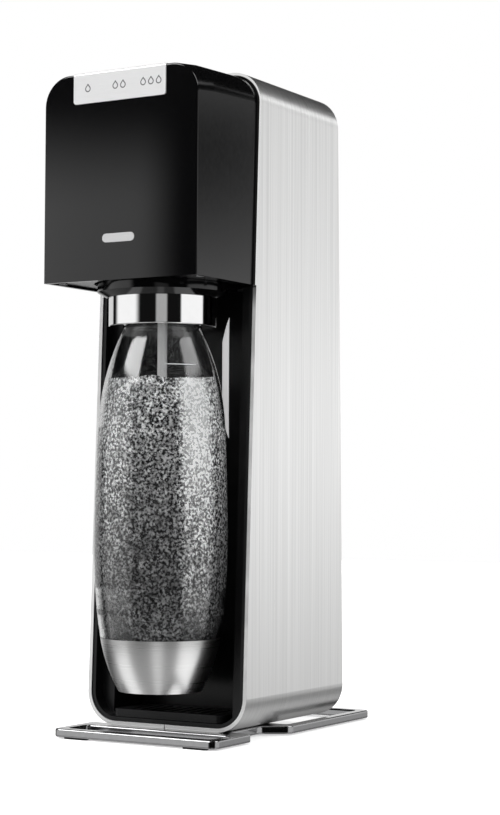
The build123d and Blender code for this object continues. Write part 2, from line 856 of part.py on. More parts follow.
def carriage_turret():
    bevel_top = turret_bottom + turret_bevel_height
    hub_top = turret_top + hub_height
    roof = bottle_top + moving_gap
    body = turned(
        (
            (turret_bore_radius, turret_bottom),
            (turret_radius - turret_bevel, turret_bottom),
            (turret_radius, bevel_top),
            (turret_radius, turret_top),
            (hub_radius, turret_top),
            (hub_radius, hub_top),
            (tube_radius, hub_top),
            (tube_radius, roof + seal_thickness),
            (turret_bore_radius, roof + seal_thickness),
        ),
        y=bottle_axis_y,
    )
    flat = (rear_strip_front - turret_rear_gap, bay_back)
    body -= block((-turret_radius, turret_radius), flat, (turret_bottom - overcut, turret_top))
    arm_z = (turret_top - pivot_arm_height, turret_top)
    for side in (-1, 1):
        x = sorted((side * pivot_arm_inner, side * pivot_arm_outer))
        arm = block(x, (pivot_y - pivot_arm_length, pivot_y), arm_z)
        arm += rod_x(pivot_eye_radius, x, pivot_y, pivot_z)
        arm -= rod_z(turret_bore_radius + overcut, 0, bottle_axis_y, (turret_bottom, hub_top))
        body += arm - rod_x(pivot_pin_radius + pin_clearance, x, pivot_y, pivot_z)
    for side in (-1, 1):
        x = sorted((side * (pivot_arm_inner - 2 * pin_end), side * (bracket_outer + pin_end)))
        body -= rod_x(pivot_pin_radius + pin_clearance, x, pivot_y, pivot_z)
    relief = (hub_top - screw_bite, hub_top + overcut)
    return body - rod_z(relief_stem_radius, relief_offset, bottle_axis_y, relief)


def collar_ring():
    z = (turret_bottom - collar_height, turret_bottom)
    body = ring(collar_radius, turret_bore_radius, z, y=bottle_axis_y)
    edge = body.edges().filter_by(GeomType.CIRCLE).group_by(Axis.Z)[0].sort_by(SortBy.RADIUS)[-1]
    return fillet([edge], collar_edge_radius)


def bottle_seal():
    roof = bottle_top + moving_gap
    z = (roof, roof + seal_thickness)
    return ring(turret_bore_radius - fit_gap, seal_bore_radius, z, y=bottle_axis_y)


def neck_jaws():
    high = turret_bottom - jaw_drop
    z = (high - jaw_height, high)
    body = ring(turret_bore_radius - fit_gap, jaw_inner_radius, z, y=bottle_axis_y)
    gap = jaw_gap / 2
    y = (bottle_axis_y - turret_radius, bottle_axis_y + turret_radius)
    body -= block((-gap, gap), y, (z[0] - overcut, z[1] + overcut))
    return Compound(children=body.solids())


def carbonating_tube():
    top = turret_top + hub_height
    roof = bottle_top + moving_gap + seal_thickness
    z = (roof - tube_length, top)
    return ring(tube_radius - pin_clearance, tube_bore_radius, z, y=bottle_axis_y)


def nozzle_tip():
    top = bottle_top + moving_gap + seal_thickness - tube_length
    points = (
        (nozzle_bore_radius, top - nozzle_length),
        (nozzle_end_radius, top - nozzle_length),
        (nozzle_radius, top - nozzle_length + nozzle_taper_length),
        (nozzle_radius, top),
        (nozzle_bore_radius, top),
    )
    return turned(points, y=bottle_axis_y)


def relief_valve():
    low = turret_top + hub_height
    cap = (low, low + relief_length)
    stem = (low - screw_bite + fit_gap, low)
    body = rod_z(relief_radius, relief_offset, bottle_axis_y, cap)
    return body + rod_z(relief_stem_radius - pin_clearance, relief_offset, bottle_axis_y, stem)


def bottle_form(inset, floor, foot_radius, lower_radius, top):
    """Turned bottle: belly by a smooth curve, flared neck, and a foot that sits in the cup."""
    start = (bottle_outline[0][0] - inset, bottle_bottom + bottle_outline[0][1])
    end = (bottle_outline[-1][0] - inset, bottle_bottom + bottle_outline[-1][1])
    belly = Spline(*[(radius - inset, bottle_bottom + rise) for radius, rise in bottle_outline])
    neck = (bottle_neck_radius - inset, end[1] + bottle_neck_flare)
    ledge = (lower_radius, start[1])
    foot = (foot_radius, floor)
    middle = cup_middle(ledge, foot)
    outline = belly + Polyline(end, neck, (neck[0], top), (0, top), (0, floor), foot)
    outline += ThreePointArc(foot, middle, ledge)
    if lower_radius < start[0]:
        outline += Line(ledge, start)
    return revolve(Plane.XZ * make_face(outline), Axis.Z)


def cup_middle(high, low):
    """Point of the cup's side half way up, bulged outwards."""
    return ((high[0] + low[0]) / 2 + cup_bulge, (high[1] + low[1]) / 2 - cup_bulge)


def bottle_shell():
    sink = cup_wall + cup_gap
    floor = bottle_bottom + sink
    lower = bottle_outline[0][0] - sink
    outer = bottle_form(0, floor, bottle_base_radius - sink, lower, bottle_top)
    inner = bottle_form(
        bottle_wall,
        floor + bottle_wall,
        bottle_base_radius - sink - bottle_wall,
        lower - bottle_wall,
        bottle_top + overcut,
    )
    for index in range(thread_count):
        low = bottle_top - thread_pitch * (index + 1)
        outer += rod_z(thread_radius, 0, 0, (low, low + thread_height))
    return Pos(0, bottle_axis_y, 0) * (outer - inner)


def cup_form(inset, floor, top):
    """Turned cup with a bulged side, drawn in by inset, from floor to top."""
    high = (bottle_outline[0][0] - inset, top)
    low = (bottle_base_radius - inset, floor)
    outline = ThreePointArc(low, cup_middle(high, low), high)
    outline += Polyline(high, (0, top), (0, floor), low)
    return revolve(Plane.XZ * make_face(outline), Axis.Z)


def bottle_base_cup():
    outer = cup_form(0, bottle_bottom, cup_top)
    inner = cup_form(cup_wall, bottle_bottom + cup_wall, bottle_bottom + bottle_outline[0][1])
    return Pos(0, bottle_axis_y, 0) * (outer - inner)


def chassis():
    half = chassis_half_width
    body = block((-half, half), (chassis_front, chassis_rear), (inside_bottom, shelf_top))
    shelf_x = (-shelf_half_width, shelf_half_width)
    body += block(shelf_x, (chassis_front, shelf_rear), (manifold_top, shelf_top))
    hole = (manifold_top - overcut, shelf_top + overcut)
    body -= rod_z(push_pin_radius + pin_clearance, 0, cylinder_y, hole)
    for side in (-1, 1):
        inner = lever_half_width + lever_ear_gap
        x = sorted((side * inner, side * (inner + lever_ear_width)))
        span = (lever_y - lever_ear_radius, lever_y + lever_ear_radius)
        ear = block(x, span, (manifold_top, lever_z)) + rod_x(lever_ear_radius, x, lever_y, lever_z)
        body += ear - rod_x(lever_pin_radius, x, lever_y, lever_z)
    return body


def cylinder_cradle():
    radius = cylinder_radius + moving_gap
    floor = cylinder_bottom - moving_gap
    body = rod_z(radius + cradle_wall, 0, cylinder_y, (inside_bottom, cylinder_bottom + cradle_lip))
    body -= rod_z(radius, 0, cylinder_y, (floor, cylinder_bottom + cradle_lip + overcut))
    for x, y in base_screw_places()[2:]:
        hole = (inside_bottom - overcut, inside_bottom + screw_bite + fit_gap)
        body -= rod_z(base_screw_radius + fit_gap, x, y, hole)
    return body


def cylinder_form(inset, top):
    """Drawn bottle with a rounded foot, a domed shoulder and a short neck, drawn in by inset."""
    radius = cylinder_radius - inset
    floor = cylinder_bottom + inset
    shoulder = (radius, cylinder_shoulder)
    neck = (cylinder_neck_radius - inset, cylinder_neck_bottom)
    middle = ((shoulder[0] + neck[0]) / 2, (shoulder[1] + neck[1]) / 2)
    dome = (middle[0] + cylinder_dome_bulge, middle[1] + cylinder_dome_bulge)
    foot_in = (radius - cylinder_foot_radius, floor)
    foot_out = (radius, floor + cylinder_foot_radius)
    bend = cylinder_foot_radius * (1 - sqrt(0.5))
    foot_mid = (radius - bend, floor + bend)
    outline = Polyline((0, floor), foot_in) + ThreePointArc(foot_in, foot_mid, foot_out)
    outline += Line(foot_out, shoulder)
    outline += ThreePointArc(shoulder, dome, neck)
    outline += Polyline(neck, (neck[0], top), (0, top), (0, floor))
    return Pos(0, cylinder_y, 0) * revolve(Plane.XZ * make_face(outline), Axis.Z)


def gas_cylinder():
    inner = cylinder_form(cylinder_wall, cylinder_neck_top + overcut)
    return cylinder_form(0, cylinder_neck_top) - inner


def cylinder_valve():
    body = extrude(
        Pos(0, cylinder_y, cylinder_neck_top) * RegularPolygon(valve_collar_radius, 6),
        valve_collar_height,
    )
    body += rod_z(valve_thread_radius, 0, cylinder_y, (valve_collar_top, valve_top))
    bore = (valve_top - valve_stem_length - moving_gap, valve_top + overcut)
    return body - rod_z(valve_stem_radius + pin_clearance, 0, cylinder_y, bore)


def valve_stem():
    """Stem in the valve, with room under it for its travel."""
    low = valve_top - valve_stem_length + stem_travel
    return rod_z(valve_stem_radius, 0, cylinder_y, (low, valve_top))


def gas_manifold():
    x = (-manifold_half_width, manifold_half_width)
    y = (cylinder_y - manifold_half_depth, cylinder_y + manifold_half_depth)
    body = block(x, y, (manifold_low, manifold_top))
    bore = (manifold_low - overcut, seal_ring_low + seal_ring_height)
    body -= rod_z(valve_thread_radius + thread_clearance, 0, cylinder_y, bore)
    pin = (manifold_low, manifold_top + overcut)
    return body - rod_z(push_pin_radius + pin_clearance, 0, cylinder_y, pin)


def manifold_seal():
    z = (seal_ring_low, seal_ring_low + seal_ring_height)
    return ring(valve_thread_radius + thread_clearance, seal_ring_bore, z, y=cylinder_y)


def gas_hose():
    """Tube from the manifold's side, forwards past the chassis and down to the union."""
    route = (
        (-manifold_half_width, cylinder_y, hose_z),
        (hose_run_x, cylinder_y, hose_z),
        (hose_run_x, pivot_y, hose_z),
        (hose_run_x, pivot_y, union_low + union_height),
    )
    path = FilletPolyline(*route, radius=hose_bend)
    start = Plane(origin=route[0], z_dir=(-1, 0, 0))
    return sweep(start * Circle(hose_radius), path)


def hose_union():
    """Swivel block on the bracket's left ear, where gas passes to the carriage."""
    x = (hose_run_x - union_half_width, hose_run_x + union_half_width)
    y = (pivot_y - union_half_width, pivot_y + union_half_width)
    ear = rod_x(bracket_half_depth, x, pivot_y, pivot_z)
    body = block(x, y, (union_low - union_height / 2, union_low + union_height))
    return body - ear


def push_pin():
    head = (push_pin_top - push_pin_head_height, push_pin_top)
    shank = rod_z(push_pin_radius, 0, cylinder_y, (push_pin_low, push_pin_top))
    return shank + rod_z(push_pin_head_radius, 0, cylinder_y, head)


def gear_outline(teeth, count, start):
    """Straight-flanked teeth: count of them, spaced for a full wheel, first one at start degrees."""
    pitch = gear_module * teeth / 2
    tip = pitch + gear_tip_height
    root = pitch - gear_root_depth
    step = 2 * pi / teeth
    half_root = tooth_root_width / 2 / pitch
    half_tip = tooth_tip_width / 2 / pitch
    faces = []
    for index in range(count):
        angle = radians(start) + index * step
        corners = (
            (root - gear_module, angle - half_root),
            (root, angle - half_root),
            (tip, angle - half_tip),
            (tip, angle + half_tip),
            (root, angle + half_root),
            (root - gear_module, angle + half_root),
        )
        points = [(radius * cos(turn), radius * sin(turn)) for radius, turn in corners]
        faces.append(make_face(Polyline(*points, close=True)))
    return root, faces


def gear_solid(y, z, faces):
    """Gear outline, drawn in y and z about its axis, as wide as the lever."""
    shapes = [extrude(Plane.YZ * face, lever_half_width, both=True) for face in faces]
    return Pos(0, y, z) * shapes[0].fuse(*shapes[1:])


def press_lever():
    """Rocker with a round nose over the push pin and a toothed sector towards the motor."""
    step = 360 / sector_teeth
    root, faces = gear_outline(sector_teeth, sector_shown, 180 - step * (sector_shown - 1) / 2)
    x = (-lever_half_width, lever_half_width)
    body = rod_x(lever_hub_radius, x, lever_y, lever_z)
    spread = radians(step * sector_shown / 2)
    fan = [(0, 0)]
    for turn in (pi - spread, pi, pi + spread):
        fan.append((root * cos(turn), root * sin(turn)))
    sector = extrude(Plane.YZ * make_face(Polyline(*fan, close=True)), lever_half_width, both=True)
    body += Pos(0, lever_y, lever_z) * sector
    body += gear_solid(lever_y, lever_z, faces)
    nose_z = lever_z - lever_rise + lever_nose_radius
    body += rod_x(lever_nose_radius, x, cylinder_y, nose_z)
    arm_low = lever_z - lever_hub_radius
    arm = (
        (lever_y, arm_low),
        (cylinder_y, nose_z - lever_nose_overlap),
        (cylinder_y, nose_z),
        (lever_y, arm_low + lever_arm_height),
    )
    body += side_prism(arm, lever_half_width)
    return body - rod_x(lever_pin_radius + pin_clearance, x, lever_y, lever_z)


def lever_pin():
    reach = lever_half_width + lever_ear_gap + lever_ear_width + pin_end
    return rod_x(lever_pin_radius, (-reach, reach), lever_y, lever_z)


def drive_pinion():
    """Pinion on the motor's shaft, turned half a tooth so that it meshes with the sector."""
    root, faces = gear_outline(pinion_teeth, pinion_teeth, 180 / pinion_teeth)
    x = (-lever_half_width, lever_half_width)
    body = rod_x(root, x, pinion_y, lever_z) + gear_solid(pinion_y, lever_z, faces)
    return body + rod_x(motor_shaft_radius, (-lever_half_width, motor_face), pinion_y, lever_z)


def motor_bracket():
    """Plate that the motor's face is fixed to, with a foot on the shelf."""
    x = (motor_face - motor_plate, motor_face)
    y = (pinion_y - motor_radius, shelf_foot_rear)
    plate = block(x, y, (shelf_top, lever_z + motor_radius))
    foot = (chassis_front, shelf_foot_rear)
    plate += block((x[0], x[0] + motor_foot_length), foot, (shelf_top, shelf_top + motor_plate))
    return plate - rod_x(motor_shaft_radius + pin_clearance, x, pinion_y, lever_z)


def actuator_motor():
    x = (motor_face, motor_face + motor_length)
    body = rod_x(motor_radius, x, pinion_y, lever_z)
    foot = (manifold_top, shelf_top + motor_plate + moving_gap)
    return body - block(x, (pinion_y - motor_radius, shelf_foot_rear), foot)


def rear_frame():
    """Panel in the sleeve's rear mouth, round the opening for the cover."""
    z = (inside_bottom - case_bottom, inside_top - case_bottom)
    y = (-rear_frame_thickness, 0)
    through = (y[0] - overcut, overcut)
    panel = upright_plate(inside_half_width, z, inside_radius, y)
    half = cover_half_width + cover_gap
    opening = (cover_low - case_bottom - cover_gap, cover_high - case_bottom + cover_gap)
    panel -= upright_plate(half, opening, cover_corner_radius + cover_gap, through)
    corner = (opening[0], opening[0] + cover_corner_radius + cover_gap)
    panel -= block((-half, half), through, corner)
    reach = half + hinge_pin_length
    panel -= rod_x(hinge_pin_radius, (-reach, reach), hinge_y, hinge_rise)
    hole = rod_y(inlet_radius + fit_gap, inlet_x, through, inlet_z - case_bottom)
    return leaned(panel - hole)


def rear_cover():
    """Door with a rolled lower edge on the hinge pins, an inner rib and a finger scoop."""
    y = (hinge_y - cover_thickness / 2, hinge_y + cover_thickness / 2)
    z = (hinge_rise, cover_high - case_bottom)
    half = cover_half_width
    panel = upright_plate(half, (z[0] - z[1], z[1]), cover_corner_radius, y)
    panel &= block((-half, half), y, z)
    panel += rod_x(hinge_knuckle_radius, (-half, half), hinge_y, hinge_rise)
    rib_half = half - cover_rib_inset
    rib_z = (z[0] + 2 * cover_rib_inset, z[1] - cover_rib_inset)
    rib_y = (y[0] - cover_rib_height, y[0])
    radius = cover_corner_radius - cover_rib
    rib = upright_plate(rib_half, rib_z, cover_corner_radius, rib_y)
    rib_in = (rib_z[0] + cover_rib, rib_z[1] - cover_rib)
    rib -= upright_plate(rib_half - cover_rib, rib_in, radius, (rib_y[0] - overcut, rib_y[1] + overcut))
    panel += rib
    scoop_z = (z[1] - scoop_height - cover_rib_inset, z[1] - cover_rib_inset)
    scoop = (y[1] - scoop_depth, y[1] + overcut)
    panel -= upright_plate(scoop_half_width, scoop_z, scoop_corner_radius, scoop)
    hole = hinge_pin_radius + pin_clearance
    for side in (-1, 1):
        x = sorted((side * (half + overcut), side * (half - hinge_pin_length)))
        panel -= rod_x(hole, x, hinge_y, hinge_rise)
    return leaned(panel)


def cover_hinge_pins():
    half = cover_half_width
    pins = []
    for side in (-1, 1):
        x = sorted((side * (half - hinge_pin_length + pin_end), side * (half + hinge_pin_length)))
        pins.append(leaned(rod_x(hinge_pin_radius, x, hinge_y, hinge_rise)))
    return Compound(children=pins)


def dc_inlet():
    z = inlet_z - case_bottom
    body = rod_y(inlet_radius, inlet_x, (-inlet_length, 0), z)
    body -= rod_y(inlet_bore_radius, inlet_x, (-inlet_bore_depth, overcut), z)
    return leaned(body + rod_y(inlet_pin_radius, inlet_x, (-inlet_length, -inlet_pin_setback), z))


os.makedirs("parts", exist_ok=True)
for make in (
    base_frame, base_feet, base_screws, sleeve, bay_liner, drip_tray, drip_grille,
    head_shell, head_underplate, head_screws, key_bezel, key_board, key_switches, head_badge,
    control_board, pivot_bracket, pivot_pins, carriage_turret, collar_ring, bottle_seal,
    neck_jaws, carbonating_tube, nozzle_tip, relief_valve, bottle_shell, bottle_base_cup,
    chassis, cylinder_cradle, gas_cylinder, cylinder_valve, valve_stem, gas_manifold,
    manifold_seal, gas_hose, hose_union, push_pin, press_lever, lever_pin, drive_pinion,
    motor_bracket, actuator_motor, rear_frame, rear_cover, cover_hinge_pins, dc_inlet,
):
    save(make(), make.__name__)
for number, word in enumerate(key_words):
    save(key_cap(number), "key_" + word)
    save(key_icon(number), "icon_" + word)
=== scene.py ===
import json
import math

import bpy
import numpy as np
from mathutils import Matrix, Vector

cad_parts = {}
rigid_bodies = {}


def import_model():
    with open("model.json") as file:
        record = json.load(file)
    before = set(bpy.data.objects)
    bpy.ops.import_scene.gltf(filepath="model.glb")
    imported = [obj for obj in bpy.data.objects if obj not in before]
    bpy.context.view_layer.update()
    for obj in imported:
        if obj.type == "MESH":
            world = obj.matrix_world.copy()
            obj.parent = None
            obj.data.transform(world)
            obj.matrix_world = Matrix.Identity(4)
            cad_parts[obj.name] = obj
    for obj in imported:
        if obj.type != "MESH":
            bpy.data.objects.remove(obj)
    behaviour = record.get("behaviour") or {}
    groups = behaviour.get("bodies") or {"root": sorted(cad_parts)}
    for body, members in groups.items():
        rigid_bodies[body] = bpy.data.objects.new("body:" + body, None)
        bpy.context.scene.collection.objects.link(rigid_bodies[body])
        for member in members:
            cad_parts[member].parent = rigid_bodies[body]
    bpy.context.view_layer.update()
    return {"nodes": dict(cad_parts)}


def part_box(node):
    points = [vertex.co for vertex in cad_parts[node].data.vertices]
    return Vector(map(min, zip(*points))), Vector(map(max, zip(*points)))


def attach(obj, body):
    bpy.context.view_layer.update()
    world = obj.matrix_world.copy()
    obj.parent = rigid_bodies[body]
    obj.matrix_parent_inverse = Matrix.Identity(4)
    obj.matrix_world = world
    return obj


# %% [markdown]
# # Dressing a soda carbonator
# The machine is already whole as a set of CAD solids: this lesson gives them their finishes, fills the
# bottle, and sets up the studio. The solids are loaded as a fixed frame, in metres, so every new piece
# can take its place from the box of the solid that carries it.

# %% Load the frame
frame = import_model()
node = frame["nodes"]

# %% [markdown]
# ## The camera
# A product shot is taken from far off with a long lens, so upright edges stay nearly parallel. The place
# and the three turns below were solved from the machine's own corners. Turning about Z, then X, then Z
# again is the order of a tripod: pan, tilt and a trace of roll.

# %% Camera
camera_place = Vector((0.69403, -1.12074, 0.15928))
camera_pan = math.radians(30.66)
camera_tilt = math.radians(92.53)
camera_roll = math.radians(0.273)
camera_data = bpy.data.cameras.new("studio_camera")
camera_data.lens = 85.78
camera_data.sensor_width = 36.0
camera_data.clip_start = 0.01
camera = bpy.data.objects.new("studio_camera", camera_data)
turn = (Matrix.Rotation(camera_pan, 4, "Z") @ Matrix.Rotation(camera_tilt, 4, "X")
        @ Matrix.Rotation(camera_roll, 4, "Z"))
camera.matrix_world = Matrix.Translation(camera_place) @ turn
bpy.context.scene.collection.objects.link(camera)
bpy.context.scene.camera = camera
bpy.context.scene.view_settings.view_transform = "Standard"
print("camera:", round(camera_place.length, 3), "m from the foot, lens", camera_data.lens, "mm")

# %% [markdown]
# ## Helpers for shader nodes
# Node trees are easy to draw by hand and long to write in code. A few small helpers keep each finish short:
# one adds a node and fills its sockets, one runs a number from one range to another, one runs between two
# colours, and the rest give places and noise. A socket takes a plain value, or a link to another socket.


# %% Node helpers
def fill(tree, shader_node, inputs):
    """Sets each named input to a value, or links it where it is given another node's output."""
    for socket, value in inputs.items():
        if isinstance(value, bpy.types.NodeSocket):
            tree.links.new(value, shader_node.inputs[socket])
        else:
            shader_node.inputs[socket].default_value = value
    return shader_node


def put(tree, kind, inputs=None, **options):
    """Adds a shader node of that kind, with its options set and its inputs filled."""
    shader_node = tree.nodes.new("ShaderNode" + kind)
    for option, value in options.items():
        setattr(shader_node, option, value)
    return fill(tree, shader_node, inputs or {})


def math_of(tree, operation, first, second=0.0):
    """One sum on two numbers or sockets."""
    return put(tree, "Math", {0: first, 1: second}, operation=operation).outputs[0]


def ranged(tree, value, start, stop, low, high, smooth=False):
    """Runs from low to high as the value goes from start to stop, and stays there beyond."""
    kind = "SMOOTHSTEP" if smooth else "LINEAR"
    inputs = {"Value": value, "From Min": start, "From Max": stop, "To Min": low, "To Max": high}
    return put(tree, "MapRange", inputs, interpolation_type=kind).outputs[0]


def between(tree, share, low, high):
    """A colour that runs from low to high with the share."""
    mix = put(tree, "Mix", {0: share, 6: (*low, 1.0), 7: (*high, 1.0)}, data_type="RGBA")
    return mix.outputs[2]


def place(tree, scale=(1.0, 1.0, 1.0)):
    """Object coordinates in metres, stretched by a scale for each axis."""
    coordinates = put(tree, "TexCoord").outputs["Object"]
    return put(tree, "Mapping", {"Vector": coordinates, "Scale": scale}).outputs["Vector"]


def noise(tree, vector, scale, detail=3.0):
    """Noise from 0 to 1, with that many cycles in a metre of the vector."""
    return put(tree, "TexNoise", {"Vector": vector, "Scale": scale, "Detail": detail}).outputs[0]


def new_finish(name):
    """An empty finish: its material, its tree and its one Principled shader."""
    material = bpy.data.materials.new(name)
    material.use_nodes = True
    return material, material.node_tree, material.node_tree.nodes["Principled BSDF"]


print("node helpers ready")

# %% [markdown]
# ## The studio
# Polished metal and glass have hardly any colour of their own: what they show is the room. So the world is
# painted as a small studio of light panels with dark gaps between them, each a stretch of compass angle and
# of height with soft edges. Compass angles run from the machine's front towards its right. Only glossy and
# see-through rays meet these panels. The camera sees plain white behind the machine, and matt surfaces
# gather an even soft light, so colours stay as written.

# %% World
panel_list = (
    # name, left and right edge and their softness, foot and top and their softness in degrees, strength
    ("strip", 19.5, 42.5, 5.0, 4.3, 6.8, 0.8, 0.42),
    ("right_wall", 73.0, 126.0, 5.0, -12.0, 12.0, 8.0, 1.05),
    ("right_top", 88.0, 142.0, 8.0, 28.0, 62.0, 8.0, 3.20),
    ("side_gap", 126.0, 141.0, 6.0, -16.0, 7.5, 8.0, 1.00),
    ("side_rail", 126.0, 141.0, 6.0, 11.5, 15.0, 3.0, 0.75),
    ("rear_wall", 141.0, 262.0, 6.0, -10.0, 16.0, 10.0, 0.72),
    ("rear_band", 132.0, 215.0, 10.0, -1.0, 5.6, 7.0, 0.62),
    ("rear_rail", 143.0, 190.0, 6.0, 9.0, 16.0, 6.0, 0.30),
    ("corner_glint", 146.0, 168.0, 6.0, 18.0, 25.0, 5.0, 1.80),
    ("left_wall", 279.0, 338.0, 15.0, -13.0, 11.0, 12.0, 1.05),
    ("front_box", 296.0, 340.0, 5.0, 28.0, 62.0, 4.0, 8.00),
    ("floor_glow", -40.0, 400.0, 20.0, -90.0, -22.0, 12.0, 0.28),
    ("floor_left", 282.0, 322.0, 10.0, -80.0, -22.0, 10.0, 0.72),
    ("floor_middle", 15.0, 38.0, 10.0, -80.0, -22.0, 10.0, 0.48),
    ("floor_right", 73.0, 136.0, 8.0, -80.0, -22.0, 10.0, 0.80),
    ("floor_rear", 140.0, 185.0, 10.0, -60.0, -16.0, 10.0, 0.22),
)
dark_room = 0.006
even_light = 0.80
white_wall = 1.0

world = bpy.data.worlds.new("studio_world")
bpy.context.scene.world = world
world.use_nodes = True
tree = world.node_tree
background = tree.nodes["Background"]
heading = put(tree, "SeparateXYZ", {0: put(tree, "TexCoord").outputs["Generated"]}).outputs
to_front = math_of(tree, "MULTIPLY", heading["Y"], -1.0)
quarter = math_of(tree, "DEGREES", math_of(tree, "ARCTAN2", heading["X"], to_front))
compass = math_of(tree, "FLOORED_MODULO", quarter, 360.0)
height_angle = math_of(tree, "DEGREES", math_of(tree, "ARCSINE", heading["Z"]))
room = dark_room
for panel, left, right, soft, foot, head, fade, strength in panel_list:
    glow = strength
    for angle, start, stop, edge in ((compass, left, right, soft), (height_angle, foot, head, fade)):
        rise = ranged(tree, angle, start - edge / 2, start + edge / 2, 0.0, 1.0, True)
        fall = ranged(tree, angle, stop - edge / 2, stop + edge / 2, 1.0, 0.0, True)
        glow = math_of(tree, "MULTIPLY", math_of(tree, "MULTIPLY", rise, fall), glow)
    room = math_of(tree, "ADD", glow, room)
ray = put(tree, "LightPath").outputs
scattered = math_of(tree, "MINIMUM", ray["Diffuse Depth"], 1.0)
seen = put(tree, "Mix", {0: scattered, 2: room, 3: even_light}).outputs[0]
level = put(tree, "Mix", {0: ray["Is Camera Ray"], 2: seen, 3: white_wall}).outputs[0]
fill(tree, background, {"Color": (1.0, 1.0, 1.0, 1.0), "Strength": level})
print("world:", len(panel_list), "light panels, even light", even_light)

# %% [markdown]
# ## Lamps and floor
# One broad lamp in front to the left, a weaker one on the right and one behind give matt parts a little
# shape; they are kept out of mirror reflections, where the painted panels already do that work. The floor
# is a pale sheet that is lifted to white for the camera but still takes a soft shadow.

# %% Lamps and floor
lamp_list = (
    # name, place, watts
    ("key_lamp", (-0.9, -1.3, 1.5), 11.0),
    ("fill_lamp", (1.5, -0.5, 1.2), 6.0),
    ("rear_lamp", (0.2, 1.5, 1.4), 6.0),
)
lamp_size = 1.2
lamp_target = Vector((0.0, 0.0, 0.2))
for lamp_name, lamp_place, watts in lamp_list:
    lamp_data = bpy.data.lights.new(lamp_name, "AREA")
    lamp_data.size = lamp_size
    lamp_data.energy = watts
    lamp = bpy.data.objects.new(lamp_name, lamp_data)
    aim = (lamp_target - Vector(lamp_place)).to_track_quat("-Z", "Y").to_matrix().to_4x4()
    lamp.matrix_world = Matrix.Translation(Vector(lamp_place)) @ aim
    lamp.visible_camera = False
    lamp.visible_glossy = False
    lamp.visible_transmission = False
    bpy.context.scene.collection.objects.link(lamp)

floor_reach = 3.0
floor_lift = 0.42
corners = [(-floor_reach, -floor_reach, 0.0), (floor_reach, -floor_reach, 0.0),
           (floor_reach, floor_reach, 0.0), (-floor_reach, floor_reach, 0.0)]
floor_mesh = bpy.data.meshes.new("studio_floor")
floor_mesh.from_pydata(corners, [], [(0, 1, 2, 3)])
floor = bpy.data.objects.new("studio_floor", floor_mesh)
bpy.context.scene.collection.objects.link(floor)
floor.visible_glossy = False
floor.visible_transmission = False
material, tree, shader = new_finish("floor_paper")
paper = between(tree, noise(tree, place(tree), 40.0), (0.80, 0.80, 0.80), (0.84, 0.84, 0.84))
fill(tree, shader, {"Base Color": paper, "Roughness": 0.9, "Specular IOR Level": 0.0})
ray = put(tree, "LightPath").outputs
lifted = math_of(tree, "ADD", ray["Is Camera Ray"], ray["Is Glossy Ray"])
lifted = math_of(tree, "MINIMUM", math_of(tree, "ADD", lifted, ray["Is Transmission Ray"]), 1.0)
glow_strength = ranged(tree, lifted, 0.0, 1.0, 0.0, floor_lift)
fill(tree, shader, {"Emission Color": (1.0, 1.0, 1.0, 1.0), "Emission Strength": glow_strength})
floor_mesh.materials.append(material)
print("lamps:", len(lamp_list), "floor:", 2 * floor_reach, "m square")

# %% [markdown]
# ## Brushed steel
# The sleeve is one bent sheet, brushed along its length before it was bent: the lines climb the sides and
# run over the top. Stretching noise thousands of times finer across the lines than along them gives that
# grain. The same grain drives the tone, the roughness and a faint bump, so light spreads across the lines.


# %% Brushed steel
def brushed_steel(name, across, tone, contrast, roughness, relief):
    """Steel with streaks: three parts fine noise and one part broad noise, both stretched by `across`.

    `across` counts cycles in a metre for each axis."""
    material, tree, shader = new_finish(name)
    fine = noise(tree, place(tree, across), 1.0, 4.0)
    broad = noise(tree, place(tree, tuple(0.12 * cycles for cycles in across)), 1.0, 2.0)
    shares = (math_of(tree, "MULTIPLY", fine, 0.75), math_of(tree, "MULTIPLY", broad, 0.25))
    grain = math_of(tree, "ADD", *shares)
    dark = tuple((1.0 - contrast) * part for part in tone)
    colour = between(tree, ranged(tree, grain, 0.3, 0.7, 0.0, 1.0), dark, tone)
    rough = ranged(tree, fine, 0.25, 0.75, roughness * 1.15, roughness * 0.85)
    bump = put(tree, "Bump", {"Height": fine, "Strength": relief, "Distance": 0.0002}).outputs[0]
    fill(tree, shader, {"Base Color": colour, "Metallic": 1.0, "Roughness": rough, "Normal": bump})
    return material


sleeve_steel = brushed_steel("sleeve_steel", (4.0, 1300.0, 4.0), (0.86, 0.86, 0.855), 0.22, 0.32, 0.06)
cup_steel = brushed_steel("cup_steel", (6.0, 6.0, 2400.0), (0.90, 0.90, 0.895), 0.03, 0.30, 0.004)
print("brushed steel:", sleeve_steel.name, cup_steel.name)

# %% [markdown]
# ## Polished steel, chrome and small metal
# The base frame is pressed sheet, polished bright, and the collar is chrome plated. Both are mirrors with
# faint rubbing marks. Screws, pins and the brass fittings are turned or drawn, so they share one finish
# with a coarser cloud of wear and differ only in colour and shine.


# %% Other metals
def smooth_metal(name, tone, roughness, wear, marks=260.0):
    """A plain metal: cloudy wear in its tone and shine, with that many marks in a metre."""
    material, tree, shader = new_finish(name)
    cloud = noise(tree, place(tree), marks, 5.0)
    colour = between(tree, cloud, tuple((1.0 - wear) * part for part in tone), tone)
    rough = ranged(tree, cloud, 0.3, 0.7, roughness * (1.0 + 2.0 * wear), roughness)
    bump = put(tree, "Bump", {"Height": cloud, "Strength": 0.02, "Distance": 0.0003}).outputs[0]
    fill(tree, shader, {"Base Color": colour, "Metallic": 1.0, "Roughness": rough, "Normal": bump})
    return material


